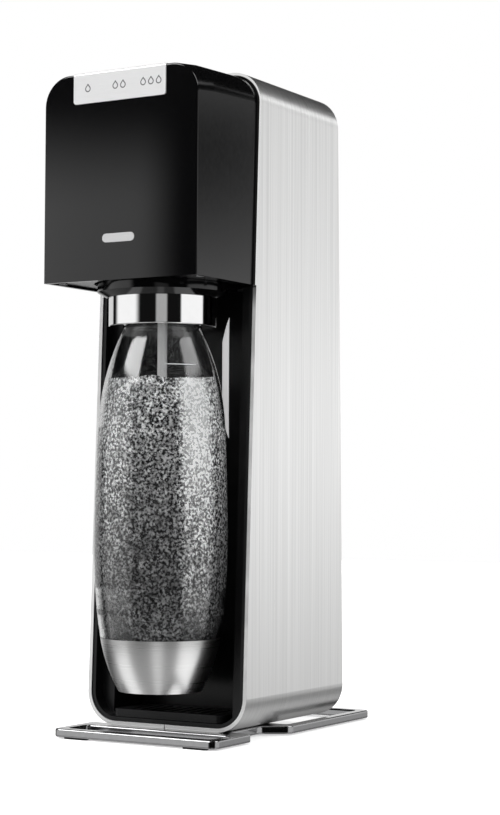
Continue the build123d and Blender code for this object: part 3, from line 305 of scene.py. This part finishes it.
base_polish = smooth_metal("base_polish", (0.34, 0.34, 0.345), 0.12, 0.12)
collar_chrome = smooth_metal("collar_chrome", (0.88, 0.88, 0.88), 0.05, 0.05)
fastener_steel = smooth_metal("fastener_steel", (0.62, 0.63, 0.64), 0.32, 0.25, 900.0)
fitting_brass = smooth_metal("fitting_brass", (0.80, 0.58, 0.27), 0.30, 0.22, 700.0)
motor_zinc = smooth_metal("motor_zinc", (0.58, 0.59, 0.60), 0.38, 0.20, 500.0)
metals = (base_polish, collar_chrome, fastener_steel, fitting_brass, motor_zinc)
print("metals:", [metal.name for metal in metals])

# %% [markdown]
# ## Moulded plastic
# The head is high-gloss black, the bay and the back are satin black, and hidden parts are plain grey. All
# are injection moulded: gloss comes from the tool's polish, and a satin tool leaves a fine even grain. One
# function makes them all, with grain as a bump and a slow cloud in the tone so that no face is dead flat.


# %% Moulded plastic
def moulded(name, colour, roughness, grain, grain_cycles, spread=0.25, shine=0.5):
    """Plastic: a slow cloud in the colour and a fine grain of that many cycles in a metre in the bump."""
    material, tree, shader = new_finish(name)
    cloud = noise(tree, place(tree), 25.0, 3.0)
    pale = tuple((1.0 + spread) * part for part in colour)
    deep = tuple((1.0 - spread) * part for part in colour)
    skin = noise(tree, place(tree), grain_cycles, 2.0)
    rough = ranged(tree, skin, 0.3, 0.7, roughness * 0.85, roughness * 1.15)
    bump = put(tree, "Bump", {"Height": skin, "Strength": grain, "Distance": 0.0003}).outputs[0]
    tint = between(tree, cloud, deep, pale)
    fill(tree, shader, {"Base Color": tint, "Roughness": rough, "Normal": bump, "Specular IOR Level": shine})
    return material


head_gloss = moulded("head_gloss", (0.0022, 0.0022, 0.0024), 0.10, 0.012, 420.0, shine=0.50)
bay_satin = moulded("bay_satin", (0.0050, 0.0050, 0.0054), 0.34, 0.10, 2600.0, shine=0.28)
inner_plastic = moulded("inner_plastic", (0.11, 0.11, 0.115), 0.48, 0.15, 2200.0)
foot_rubber = moulded("foot_rubber", (0.014, 0.014, 0.015), 0.72, 0.30, 1700.0)
hose_rubber = moulded("hose_rubber", (0.03, 0.03, 0.032), 0.55, 0.25, 1500.0)
tube_plastic = moulded("tube_plastic", (0.88, 0.88, 0.88), 0.30, 0.06, 1800.0, 0.08)
bar_pale = moulded("bar_pale", (0.90, 0.90, 0.90), 0.34, 0.05, 1500.0, 0.05)
line_white = moulded("line_white", (0.80, 0.82, 0.83), 0.40, 0.05, 2500.0, 0.05)
icon_ink = moulded("icon_ink", (0.10, 0.10, 0.105), 0.40, 0.05, 3000.0)
under_gloss = moulded("under_gloss", (0.006, 0.006, 0.0065), 0.20, 0.03, 900.0)
cylinder_paint = moulded("cylinder_paint", (0.52, 0.53, 0.54), 0.36, 0.10, 1400.0, 0.10)
print("plastics:", head_gloss.name, bay_satin.name, inner_plastic.name, foot_rubber.name)

# %% [markdown]
# ## The crown of the head
# A moulded front panel is never dead flat: it is crowned by a fraction of a millimetre, so that it looks
# tight. The eye sees this only in reflections, which slide off towards the edges. Tilting the shading
# normal in proportion to the distance from the panel's middle gives the same slide without a new mesh.


# %% Head crown
def crown(material, middle, tilt, side_turn):
    """Adds to the front's normal the offset from the middle times tilt, and turns the sides' forwards."""
    tree = material.node_tree
    shader = tree.nodes["Principled BSDF"]
    bumped = shader.inputs["Normal"].links[0].from_socket
    offset = put(tree, "VectorMath", {0: place(tree), 1: middle}, operation="SUBTRACT").outputs[0]
    lean = put(tree, "VectorMath", {0: offset, 1: tilt}, operation="MULTIPLY").outputs[0]
    normal = put(tree, "NewGeometry").outputs["Normal"]
    across = put(tree, "SeparateXYZ", {0: normal}).outputs
    front = ranged(tree, math_of(tree, "MULTIPLY", across["Y"], -1.0), 0.90, 0.99, 0.0, 1.0)
    beside = ranged(tree, math_of(tree, "ABSOLUTE", across["X"]), 0.60, 0.95, 0.0, 1.0)
    for share, change in ((front, lean), (beside, (0.0, -side_turn, 0.0))):
        part = put(tree, "VectorMath", {0: change, "Scale": share}, operation="SCALE").outputs[0]
        bumped = put(tree, "VectorMath", {0: bumped, 1: part}, operation="ADD").outputs[0]
    unit = put(tree, "VectorMath", {0: bumped}, operation="NORMALIZE").outputs[0]
    fill(tree, shader, {"Normal": unit})


head_low, head_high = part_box("head_shell")
head_middle = (head_low + head_high) / 2
crown_tilt = (3.2, 0.0, 1.3)
side_turn = 0.085
crown(head_gloss, head_middle, crown_tilt, side_turn)
print("crown: middle of the head at", [round(part, 4) for part in head_middle])

# %% [markdown]
# ## The rim of the sleeve
# Beside the head, the sleeve's cut edge is a bright line outside, with a black band of painted shadow inside
# it, the shade in the gap against the head. The line is thin sheet rolled over outwards, so it looks to the
# side. It could be a strip of its own, but the edge is there already, so both are painted on the faces that
# point forwards: how deep a point lies under the outside is worked out from the corner's radius, and only
# the first one or two millimetres stay steel, while deeper lies the painted shadow.

# %% Sleeve rim
rim_fade = 0.002
rim_roughness = 0.15
rim_drop = -0.08
turn_reach = 0.03
# Painted shadow: the black of the shaded gap inside the rim, beside the head.
shadow_gap_black = (0.01, 0.01, 0.01, 1.0)


def rim_depth(tree, here, corner, radius):
    """Depth under the outside: the radius less the distance from the corner's middle, sideways and up."""
    across = math_of(tree, "MAXIMUM", math_of(tree, "SUBTRACT", here["X"], corner[0]), 0.0)
    upwards = math_of(tree, "MAXIMUM", math_of(tree, "SUBTRACT", here["Z"], corner[1]), 0.0)
    squares = (math_of(tree, "MULTIPLY", offset, offset) for offset in (across, upwards))
    return math_of(tree, "SUBTRACT", radius, math_of(tree, "SQRT", math_of(tree, "ADD", *squares)))


def rolled_rim(material, corner, radius, sheet, foot, turn):
    """Above the foot, turns the outer sheet's front to the right and paints a black shadow on what lies
    deeper.

    The sheet's front is widest at the top of the corner and narrows down to the straight side."""
    tree = material.node_tree
    shader = tree.nodes["Principled BSDF"]
    steel, rough, bumped = (shader.inputs[socket].links[0].from_socket
                            for socket in ("Base Color", "Roughness", "Normal"))
    here = put(tree, "SeparateXYZ", {0: place(tree)}).outputs
    normal = put(tree, "SeparateXYZ", {0: put(tree, "NewGeometry").outputs["Normal"]}).outputs
    front = ranged(tree, math_of(tree, "MULTIPLY", normal["Y"], -1.0), 0.9, 0.99, 0.0, 1.0)
    front = math_of(tree, "MULTIPLY", front, ranged(tree, here["Z"], foot - rim_fade, foot, 0.0, 1.0))
    width = ranged(tree, here["Z"], corner[1] + 0.2 * radius, corner[1] + radius, *sheet)
    depth = math_of(tree, "DIVIDE", rim_depth(tree, here, corner, radius), width)
    inside = ranged(tree, depth, 0.8, 1.0, 0.0, 1.0)
    # Painted shadow: front faces deeper than the sheet are painted black, the shade of the gap beside the
    # head.
    shadow_gap = math_of(tree, "MULTIPLY", front, inside)
    colour = put(tree, "Mix", {0: shadow_gap, 6: steel, 7: shadow_gap_black}, data_type="RGBA").outputs[2]
    shine = put(tree, "Mix", {0: front, 2: rough, 3: rim_roughness}).outputs[0]
    right = ranged(tree, here["X"], 0.0, turn_reach, 0.0, turn)
    sideways = math_of(tree, "MULTIPLY", right, front)
    downwards = math_of(tree, "MULTIPLY", sideways, rim_drop)
    turned = put(tree, "CombineXYZ", {"X": sideways, "Z": downwards}).outputs[0]
    summed = put(tree, "VectorMath", {0: bumped, 1: turned}, operation="ADD").outputs[0]
    unit = put(tree, "VectorMath", {0: summed}, operation="NORMALIZE").outputs[0]
    fill(tree, shader, {"Base Color": colour, "Roughness": shine, "Normal": unit})


sleeve_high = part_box("sleeve")[1]
sleeve_radius = 0.022
sheet_front = (0.0010, 0.0021)
rim_turn = 1.6
sleeve_corner = (sleeve_high.x - sleeve_radius, sleeve_high.z - sleeve_radius)
rolled_rim(sleeve_steel, sleeve_corner, sleeve_radius, sheet_front, head_low.z, rim_turn)
print("rim on", sleeve_steel.name, "with its corner at", [round(part, 4) for part in sleeve_corner])

# %% [markdown]
# ## Key plate, boards and bottle
# The key plate and the badge place are pale silver paint, part metal and part matt. The circuit boards show
# a grid of tracks. The bottle is clear moulded plastic: full transmission, a smooth skin and a faint wave
# that bends what is seen through it.


# %% Plate, boards and bottle
def silver_paint(name, dark, pale):
    """Pale silver: part metal, with a fine flake that varies tone and shine."""
    material, tree, shader = new_finish(name)
    flake = noise(tree, place(tree), 5200.0, 2.0)
    sweep = noise(tree, place(tree, (120.0, 120.0, 2400.0)), 1.0, 3.0)
    grain = math_of(tree, "MULTIPLY", math_of(tree, "ADD", flake, sweep), 0.5)
    colour = between(tree, grain, dark, pale)
    rough = ranged(tree, grain, 0.3, 0.7, 0.40, 0.30)
    bump = put(tree, "Bump", {"Height": grain, "Strength": 0.04, "Distance": 0.0002}).outputs[0]
    fill(tree, shader, {"Base Color": colour, "Metallic": 0.40, "Roughness": rough, "Normal": bump})
    return material


def board_lacquer(name):
    """Circuit board: lacquer with tracks, the mortar lines of a brick grid 2.5 mm wide."""
    material, tree, shader = new_finish(name)
    grid = put(tree, "TexBrick", {"Vector": place(tree), "Scale": 160.0, "Mortar Size": 0.05})
    colour = between(tree, grid.outputs["Fac"], (0.012, 0.085, 0.030), (0.05, 0.20, 0.08))
    fill(tree, shader, {"Base Color": colour, "Roughness": 0.35})
    return material


def clear_plastic(name, lean):
    """Clear moulded plastic: a faint waviness, and normals that lean upwards as the blown wall draws in."""
    material, tree, shader = new_finish(name)
    wave = noise(tree, place(tree), 60.0, 2.0)
    bump = put(tree, "Bump", {"Height": wave, "Strength": 0.03, "Distance": 0.001}).outputs[0]
    leant = put(tree, "VectorMath", {0: bump, 1: (0.0, 0.0, lean)}, operation="ADD").outputs[0]
    unit = put(tree, "VectorMath", {0: leant}, operation="NORMALIZE").outputs[0]
    tint = between(tree, wave, (0.97, 0.98, 0.98), (1.0, 1.0, 1.0))
    fill(tree, shader, {"Base Color": tint, "Transmission Weight": 1.0, "Roughness": 0.0, "IOR": 1.45,
                        "Normal": unit})
    return material


plate_silver = silver_paint("plate_silver", (0.62, 0.62, 0.625), (0.74, 0.74, 0.74))
badge_silver = silver_paint("badge_silver", (0.48, 0.48, 0.485), (0.60, 0.60, 0.60))
circuit_green = board_lacquer("circuit_green")
wall_lean = 0.03
bottle_clear = clear_plastic("bottle_clear", wall_lean)
print("others:", plate_silver.name, badge_silver.name, circuit_green.name, bottle_clear.name)

# %% [markdown]
# ## Dressing the CAD nodes
# Each solid already names a material slot in the record, so one table from slot to finish dresses almost
# everything. Three nodes take a finish of their own. The bottle's cup shares the steel slot with the sleeve
# but was spun, not bent: its brush lines go round. The plate under the head is a little glossier than the
# bay, and the badge place is a little darker than the key plate.

# %% Finishes for the nodes
finish_of_slot = {
    "polished_steel": base_polish, "rubber": foot_rubber, "fastener_steel": fastener_steel,
    "brushed_steel": sleeve_steel, "black_satin": bay_satin, "black_gloss": head_gloss,
    "silver_plate": plate_silver, "icon_grey": icon_ink, "circuit_board": circuit_green,
    "inner_plastic": inner_plastic, "chrome": collar_chrome, "tube_grey": tube_plastic,
    "brass": fitting_brass, "clear_bottle": bottle_clear, "cylinder_paint": cylinder_paint,
    "hose": hose_rubber, "motor_can": motor_zinc,
}
finish_of_node = {"bottle_base_cup": cup_steel, "head_underplate": under_gloss, "head_badge": badge_silver}
for name, solid in node.items():
    slot_name = solid.data.materials[0].name.split(".")[0]
    solid.data.materials[0] = finish_of_node.get(name, finish_of_slot[slot_name])
print("dressed:", len(node), "nodes in", len(finish_of_slot) + len(finish_of_node), "finishes")

# %% [markdown]
# ## Surfaces from arrays
# Round pieces are lathe turned in effect: a profile of radius and height carried round an axis. As a formula
# that is a function of two parameters on a grid, so numpy works out all points at once. The helpers below
# turn any such grid into a mesh, join the seam and close both ends.


# %% Mesh helpers
def mesh_piece(name, points, faces, material, body, caps=(), crease=180.0):
    """A mesh object from arrays of points and faces, with extra faces as caps, riding on a body."""
    mesh = bpy.data.meshes.new(name)
    mesh.from_pydata(points.reshape(-1, 3).tolist(), [], faces.tolist() + list(caps))
    mesh.validate()
    mesh.polygons.foreach_set("use_smooth", np.ones(len(mesh.polygons), dtype=bool))
    mesh.set_sharp_from_angle(angle=math.radians(crease))
    mesh.materials.append(material)
    piece = bpy.data.objects.new(name, mesh)
    bpy.context.scene.collection.objects.link(piece)
    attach(piece, body)
    return piece


def grid_faces(rows, columns, close_rows=False):
    """Four-sided faces of a grid whose columns, and rows if asked, close into a ring."""
    row = np.arange(rows if close_rows else rows - 1)[:, None]
    next_row = (row + 1) % rows
    column = np.arange(columns)[None, :]
    next_column = (column + 1) % columns
    corner_list = (row * columns + column, row * columns + next_column,
                   next_row * columns + next_column, next_row * columns + column)
    return np.stack(corner_list, axis=-1).reshape(-1, 4)


def end_caps(rows, columns):
    """One many-sided face over the first ring of a grid and one over its last."""
    first = np.arange(columns)[::-1]
    last = (rows - 1) * columns + np.arange(columns)
    return [first.tolist(), last.tolist()]


print("mesh helpers ready")

# %% [markdown]
# ## Lips round the keys
# On the machine the silver plate looks unbroken: a thin elastic lip fills the gap round each key. A lip is
# a small square section carried round a rounded rectangle, so it is a grid of section by path, closed both
# ways. It keeps a hair's clearance from the key, which slides inside it.

# %% Rounded path
corner_steps = 9


def rounded_loop(half_width, half_height, radius, steps):
    """A rounded rectangle: each quarter turn's arc, moved out to its corner, with outward directions."""
    quarter = np.arange(4)[:, None]
    turn_angle = (quarter + np.linspace(0.0, 1.0, steps)[None, :]) * np.pi / 2
    sideways = np.where((quarter == 0) | (quarter == 3), 1.0, -1.0) * (half_width - radius)
    upwards = np.where(quarter < 2, 1.0, -1.0) * (half_height - radius)
    outward = np.stack([np.cos(turn_angle), np.sin(turn_angle)], axis=-1).reshape(-1, 2)
    corner = np.stack([sideways + 0.0 * turn_angle, upwards + 0.0 * turn_angle], axis=-1).reshape(-1, 2)
    return corner + radius * outward, outward


print("rounded path:", len(rounded_loop(2.0, 1.0, 0.5, corner_steps)[0]), "points")

# %% Key lips
key_flange = 0.001
key_gap = 0.0002
key_corner = 0.0028
lip_half = 0.000085
lip_depth = 0.0012
lip_crease = 40.0
lip_section = np.array([(-lip_half, 0.0), (-lip_half, lip_depth), (lip_half, lip_depth), (lip_half, 0.0)])
grow = key_gap / 2 - key_flange
for key in ("key_one", "key_two", "key_three"):
    key_low, key_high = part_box(key)
    middle = (key_low + key_high) / 2
    half = (key_high - key_low) / 2
    path, outward = rounded_loop(half.x + grow, half.z + grow, key_corner + key_gap / 2, corner_steps)
    ring = path[None, :, :] + lip_section[:, None, :1] * outward[None, :, :]
    depth = np.broadcast_to(key_low.y + lip_section[:, None, 1], ring.shape[:2])
    lip_points = np.stack([middle.x + ring[..., 0], depth, middle.z + ring[..., 1]], axis=-1)
    lip_faces = grid_faces(len(lip_section), len(path), True)
    lip = mesh_piece("lip_" + key, lip_points, lip_faces, plate_silver, "housing",
                     crease=lip_crease)
    print(lip.name, len(lip.data.polygons), "faces")

# %% [markdown]
# ## Guide bar in the bay
# A pale bar stands on the bay's back wall to the right of the bottle and narrows to a point at both ends.
# It is given a faint glow, painted light that keeps it pale in the shade of the dark bay. Its form is a flat
# oval section carried up a line; the section's width is a function of the height, so the taper needs no
# separate tip.

# %% Guide bar
# Painted light: the bar glows so that it stays pale in the shade of the dark bay.
bar_painted_light = 0.40
fill(bar_pale.node_tree, bar_pale.node_tree.nodes["Principled BSDF"],
     {"Emission Color": (0.9, 0.9, 0.9, 1.0), "Emission Strength": bar_painted_light})
bay_back = -0.014
bar_outer = 0.0218
bar_width = 0.0052
bar_thick = 0.0012
bar_foot = 0.196
bar_top = 0.2765
bar_taper = 0.016
taper_rows = 14
bar_sides = 16
tip_share = 0.02
bar_height = np.concatenate([np.linspace(bar_foot, bar_foot + bar_taper, taper_rows),
                             np.linspace(bar_top - bar_taper, bar_top, taper_rows)])
to_end = np.minimum(bar_top - bar_height, bar_height - bar_foot)
share = np.clip(to_end / bar_taper, tip_share, 1.0)[:, None] ** 0.75
oval = np.linspace(0.0, 2.0 * np.pi, bar_sides, endpoint=False)[None, :]
across = bar_outer - share * bar_width * (1.0 - np.cos(oval)) / 2
proud = bay_back - bar_thick * share ** 0.5 * (1.0 - np.sin(oval)) / 2
upright = np.broadcast_to(bar_height[:, None], across.shape)
bar_points = np.stack([across, proud, upright], axis=-1)
bar = mesh_piece("guide_bar", bar_points, grid_faces(*across.shape), bar_pale, "housing",
                 end_caps(*across.shape))
print(bar.name, len(bar.data.polygons), "faces")

# %% [markdown]
# ## The soda
# Freshly charged water is milky with gas, so it reads as a dark body crowded with pale bubbles. The body is
# a lathe form just inside the bottle's wall, with a well down its middle for the carbonating tube. The
# wall's radius is measured on the CAD bottle, so the water fits whatever shape the bottle has.

# %% Bottle inside
shell_points = np.zeros(len(node["bottle_shell"].data.vertices) * 3)
node["bottle_shell"].data.vertices.foreach_get("co", shell_points)
shell_points = shell_points.reshape(-1, 3)
tube_low, tube_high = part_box("carbonating_tube")
axis_y = (tube_low.y + tube_high.y) / 2
shell_radius = np.hypot(shell_points[:, 0], shell_points[:, 1] - axis_y)
shell_height = shell_points[:, 2]
cup_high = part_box("bottle_base_cup")[1]


def inside_radius(heights, reach=0.004):
    """The bottle's inner wall: the least radius of the CAD points within reach of each height."""
    near = np.abs(shell_height[None, :] - np.asarray(heights)[:, None]) < reach
    return np.where(near, shell_radius[None, :], 1.0).min(axis=1)


froth_top = 0.2325
soda_in_cup = 0.015
soda_rows = 40
heights = np.linspace(cup_high.z - soda_in_cup, froth_top, soda_rows)
wall_radius = inside_radius(heights)
print("bottle inside:", round(wall_radius.min(), 4), "to", round(wall_radius.max(), 4), "m radius")

# %% [markdown]
# ## Light in the gas
# Gas gathers towards the top and looks paler where a panel lights it. Real scattering in thousands of
# bubbles would be slow to render and hard to steer, so that light and the shade below it are painted: one
# function of angle and height says how pale the gas is, and both the water and the bubbles use it, so they
# always agree.

# %% Light in the gas
gas_low = 0.08
gas_high = 0.30
lit_reach = 0.75
# Painted light: stretches of compass angle that the panels would light, painted paler than the rest.
lobe_list = (
    # compass angle of the middle, reach to both sides
    (67.0, 17.0),
    (-14.0, 17.0),
    (112.0, 30.0),
)
right_light = 0.54
left_light = 0.27
left_fade = 0.12
flank_light = 0.17
dense_from = 0.3
dense_to = 0.85
dense_share = 0.65


def lobe(compass_angle, middle, reach):
    """A soft-edged stretch of compass angle: 1 in the middle, falling off beyond its reach."""
    offset = (compass_angle - middle + 180.0) % 360.0 - 180.0
    return np.exp(-(offset / reach) ** 6)


def gas_and_painted_light(turn_angle, height):
    """How pale the gas is: a part that grows as the cube of the climb, and three lobes of painted light from
    the sides.

    The painted lobes fade in with the climb; below, where they are not yet lit, painted shade makes them
    darker than the rest."""
    climb = np.clip((height - heights[0]) / (froth_top - heights[0]), 0.0, 1.0)
    lit = np.clip(climb / lit_reach, 0.0, 1.0) ** 1.2
    compass_angle = np.degrees(turn_angle) + 90.0
    right, left, flank = (lobe(compass_angle, *stretch) for stretch in lobe_list)
    # Painted shade: below the lit height the lobes' stretches are painted darker than the rest.
    shade = 1.0 - (1.0 - lit) * np.clip(right + left + flank, 0.0, 1.0)
    sides = right_light * right + (left_light - left_fade * climb ** 6) * left + flank_light * flank
    return gas_low * shade + gas_high * climb ** 3 + lit * sides


def dense(gas_and_light):
    """How far the froth closes up: nothing in thin gas, two thirds where it is palest."""
    return dense_share * np.clip((gas_and_light - dense_from) / (dense_to - dense_from), 0.0, 1.0)


sample = np.radians([-60.0, 0.0])
print("gas:", gas_and_painted_light(sample, np.full(2, froth_top)).round(2), "front and right, at the top")

# %% [markdown]
# ## The body of the water
# The profile runs up the bottle's wall, across the top and down a well round the tube; a slow swell lifts
# the top. The water is let a fifth of a millimetre into the wall: it wets the plastic, and a film of air
# between them would turn the bottle's edges black by total reflection.

# %% Soda body
soda_bite = 0.0002
well_gap = 0.0012
well_drop = 0.004
well_radius = tube_high.x + well_gap
well_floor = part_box("nozzle_tip")[0].z - well_drop
turns = 96
top_rows = 7
well_rows = 6
swell_reach = 0.004
swell_list = ((0.0008, 5, 1.0), (0.0007, 9, 0.0))
angle = np.linspace(0.0, 2.0 * np.pi, turns, endpoint=False)
side = np.stack([wall_radius + soda_bite, heights], axis=1)
top_radius = np.linspace(side[-1, 0], well_radius, top_rows + 1)[1:]
top = np.stack([top_radius, np.full(top_rows, froth_top)], axis=1)
well_height = np.linspace(froth_top - swell_reach, well_floor, well_rows)
well = np.stack([np.full(well_rows, well_radius), well_height], axis=1)
profile = np.concatenate([side, top, well])
swell = sum(rise * np.sin(waves * angle + phase) for rise, waves, phase in swell_list)
lift = np.exp(-((profile[:, 1] - froth_top) / swell_reach) ** 2)
soda_points = np.stack([
    profile[:, :1] * np.cos(angle)[None, :],
    axis_y + profile[:, :1] * np.sin(angle)[None, :],
    profile[:, 1:] + lift[:, None] * swell[None, :],
], axis=-1)
print("soda grid:", soda_points.shape)

# %% [markdown]
# ## The look of the water
# Seen from a step away the gas is not a crowd of round beads but pale lumps with dark pits between them. So
# the lumps are noise, cut hard between dark and pale, with the cells of a Voronoi pattern for the bubbles'
# own round forms. Light that has wandered through the gas comes out evenly, which a weak glow stands for.

# %% Soda finish
inner_light = 0.36
gas_white = (0.95, 0.955, 0.96)
cell_cycles = 620.0
lump_cycles = 560.0
cloud_cycles = 160.0


def soda_finish(name):
    """Gassy water: pale lumps of noise between dark pits, as pale as the `gas_and_light` attribute says,
    which is the gas with its painted light and shade.
    """
    material, tree, shader = new_finish(name)
    cells = put(tree, "TexVoronoi", {"Vector": place(tree), "Scale": cell_cycles}).outputs
    cloud = noise(tree, place(tree), cloud_cycles, 3.0)
    lumps = noise(tree, place(tree), lump_cycles, 3.0)
    core = ranged(tree, cells["Distance"], 0.25, 0.65, 1.0, 0.0)
    lumpy = math_of(tree, "ADD", lumps, math_of(tree, "MULTIPLY", core, 0.1))
    grain = ranged(tree, lumpy, 0.47, 0.66, 0.02, 2.4)
    # Painted light: the attribute holds the gas's paleness together with its painted light and shade.
    gas_and_light = put(tree, "Attribute", attribute_name="gas_and_light").outputs["Fac"]
    grainy = math_of(tree, "MULTIPLY", grain, ranged(tree, cloud, 0.35, 0.65, 0.55, 1.35))
    closing = ranged(tree, gas_and_light, dense_from, dense_to, 0.0, dense_share)
    closed = put(tree, "Mix", {0: closing, 2: grainy, 3: 1.0}).outputs[0]
    share = math_of(tree, "MULTIPLY", closed, gas_and_light)
    colour = between(tree, share, (0.004, 0.004, 0.0045), gas_white)
    bump = put(tree, "Bump", {"Height": core, "Strength": 0.5, "Distance": 0.0005}).outputs[0]
    fill(tree, shader, {"Base Color": colour, "Roughness": 0.25, "Normal": bump,
                        "Emission Color": colour, "Emission Strength": inner_light})
    return material


soda_dark = soda_finish("soda_dark")
soda = mesh_piece("soda_body", soda_points, grid_faces(len(profile), turns), soda_dark, "bottle",
                  end_caps(len(profile), turns))
gas_and_light_share = gas_and_painted_light(angle[None, :], profile[:, 1:])
soda.data.attributes.new("gas_and_light", "FLOAT", "POINT").data.foreach_set("value", gas_and_light_share.ravel())
gas_and_light_range = (gas_and_light_share.min().round(2), gas_and_light_share.max().round(2))
print("soda body:", len(soda.data.polygons), "faces, gas from", gas_and_light_range[0], "to", gas_and_light_range[1])

# %% [markdown]
# ## The fill line
# A fine raised line on the bottle's shoulder shows how far to fill it. It is a thread carried along an arc
# at one height, and it thins to nothing at both ends. Two curve fits find the wall: the first runs between
# the inner and the outer skin, the second through the outer points alone.

# %% Fill line
line_height = 0.2411
line_half = 0.00024
line_middle = -37.0
line_reach = 18.0
line_rows = 49
thread_sides = 8
fit_reach = 0.015
near = np.abs(shell_height - line_height) < fit_reach
between_skins = np.polyval(np.polyfit(shell_height[near], shell_radius[near], 2), shell_height)
outer = near & (shell_radius > between_skins)
line_radius = np.polyval(np.polyfit(shell_height[outer], shell_radius[outer], 2), line_height)
along = np.linspace(-1.0, 1.0, line_rows)[:, None]
around = np.linspace(0.0, 2.0 * np.pi, thread_sides, endpoint=False)[None, :]
thread = line_half * np.sqrt(np.clip(1.0 - along ** 6, tip_share, 1.0))
reach = line_radius + thread * np.cos(around)
line_angle = np.radians(line_middle + line_reach * along)
line_points = np.stack([reach * np.cos(line_angle), axis_y + reach * np.sin(line_angle),
                        line_height - thread * np.sin(around)], axis=-1)
line = mesh_piece("fill_line", line_points, grid_faces(*reach.shape), line_white, "bottle",
                  end_caps(*reach.shape))
print("fill line:", len(line.data.polygons), "faces at radius", round(float(line_radius), 4))

# %% [markdown]
# ## The bubbles
# Thousands of small balls crowd the wall of the water. A ball that is only two pixels wide needs few faces:
# one unit ball of two rings and two poles is copied by adding every centre to every point in one array. A
# number kept on the points, the bubble's tone, makes some dark and some bright; it carries the painted light
# and shade of the gas as well as a chance share.

# %% Unit ball
ball_grid = (2, 6)


def unit_ball(rings, columns):
    """Points and triangles of a ball: rings between two poles, and columns round each ring."""
    polar = np.linspace(0.0, np.pi, rings + 2)[1:-1]
    round_angle = np.linspace(0.0, 2.0 * np.pi, columns, endpoint=False)
    belt = np.stack([
        np.sin(polar)[:, None] * np.cos(round_angle)[None, :],
        np.sin(polar)[:, None] * np.sin(round_angle)[None, :],
        np.cos(polar)[:, None] * np.ones(columns)[None, :],
    ], axis=-1).reshape(-1, 3)
    points = np.concatenate([belt, [(0.0, 0.0, 1.0), (0.0, 0.0, -1.0)]])
    column = np.arange(columns)
    following = (column + 1) % columns
    north = np.stack([np.full(columns, len(belt)), column, following], axis=1)
    last = (rings - 1) * columns
    south = np.stack([np.full(columns, len(belt) + 1), last + following, last + column], axis=1)
    quads = grid_faces(rings, columns)
    halves = np.concatenate([quads[:, [0, 3, 2]], quads[:, [0, 2, 1]]])
    return points, np.concatenate([north, halves, south])


def bubble_piece(name, centres, radii, tones, material):
    """One mesh of many balls: every unit point times each radius, added to each centre."""
    ball, triangles = unit_ball(*ball_grid)
    points = centres[:, None, :] + radii[:, None, None] * ball[None, :, :]
    faces = triangles[None, :, :] + len(ball) * np.arange(len(centres))[:, None, None]
    piece = mesh_piece(name, points, faces.reshape(-1, 3), material, "bottle")
    tone = piece.data.attributes.new("tone", "FLOAT", "POINT")
    tone.data.foreach_set("value", np.repeat(tones, len(ball)))
    return piece


def bubble_finish(name):
    """Gas in water: the ball's tone from dark to bright, painted light and shade included, under a wet
    gloss.
    """
    material, tree, shader = new_finish(name)
    tone = put(tree, "Attribute", attribute_name="tone").outputs["Fac"]
    colour = between(tree, tone, (0.008, 0.008, 0.009), gas_white)
    fill(tree, shader, {"Base Color": colour, "Roughness": 0.12, "Coat Weight": 0.5,
                        "Emission Color": colour, "Emission Strength": inner_light})
    return material


bubble_wet = bubble_finish("bubble_wet")
print("unit ball:", len(unit_ball(*ball_grid)[1]), "triangles")

# %% [markdown]
# ## Bubbles along the wall
# Two layers, coarse and fine, are strewn over the wall by a seeded random generator, so that they lie the
# same way every time. A bubble's tone is the gas's paleness with its painted light and shade, times a chance
# share; where the gas is dense the bubbles close up and the chance counts for less.

# %% Bubbles along the wall
rng = np.random.default_rng(11)
bubble_count = 7200
wall_bite = 0.0007
dimmest = 0.05
tone_range = 1.55


def wall_bubbles(count, small, large, depth):
    """Centres by chance on the wall: an angle, a height, a radius for each ball and how deep it lies."""
    turn_angle = rng.uniform(0.0, 2.0 * np.pi, count)
    height = rng.uniform(heights[0] + large, froth_top, count)
    radii = small + (large - small) * rng.uniform(0.0, 1.0, count) ** 2
    sunk = depth * rng.uniform(0.0, 1.0, count)
    out = np.interp(height, heights, wall_radius) - radii + wall_bite - sunk
    centres = np.stack([out * np.cos(turn_angle), axis_y + out * np.sin(turn_angle), height], axis=1)
    return centres, radii, gas_and_painted_light(turn_angle, height)


layer_list = (
    # name, least and greatest radius, greatest depth
    ("coarse", 0.0004, 0.0009, 0.0004),
    ("fine", 0.0003, 0.0006, 0.0003),
)
for layer, small, large, depth in layer_list:
    centres, radii, gas_and_light = wall_bubbles(bubble_count, small, large, depth)
    spread = dimmest + tone_range * rng.uniform(0.0, 1.0, bubble_count)
    # Painted light: each tone takes the gas's painted light and shade from the sides.
    tones = np.clip(gas_and_light * (spread + dense(gas_and_light) * (1.0 - spread)), 0.0, 1.0)
    bubbles = bubble_piece("bubbles_" + layer, centres, radii, tones, bubble_wet)
    print("bubbles:", layer, bubble_count, "balls,", len(bubbles.data.polygons), "triangles")
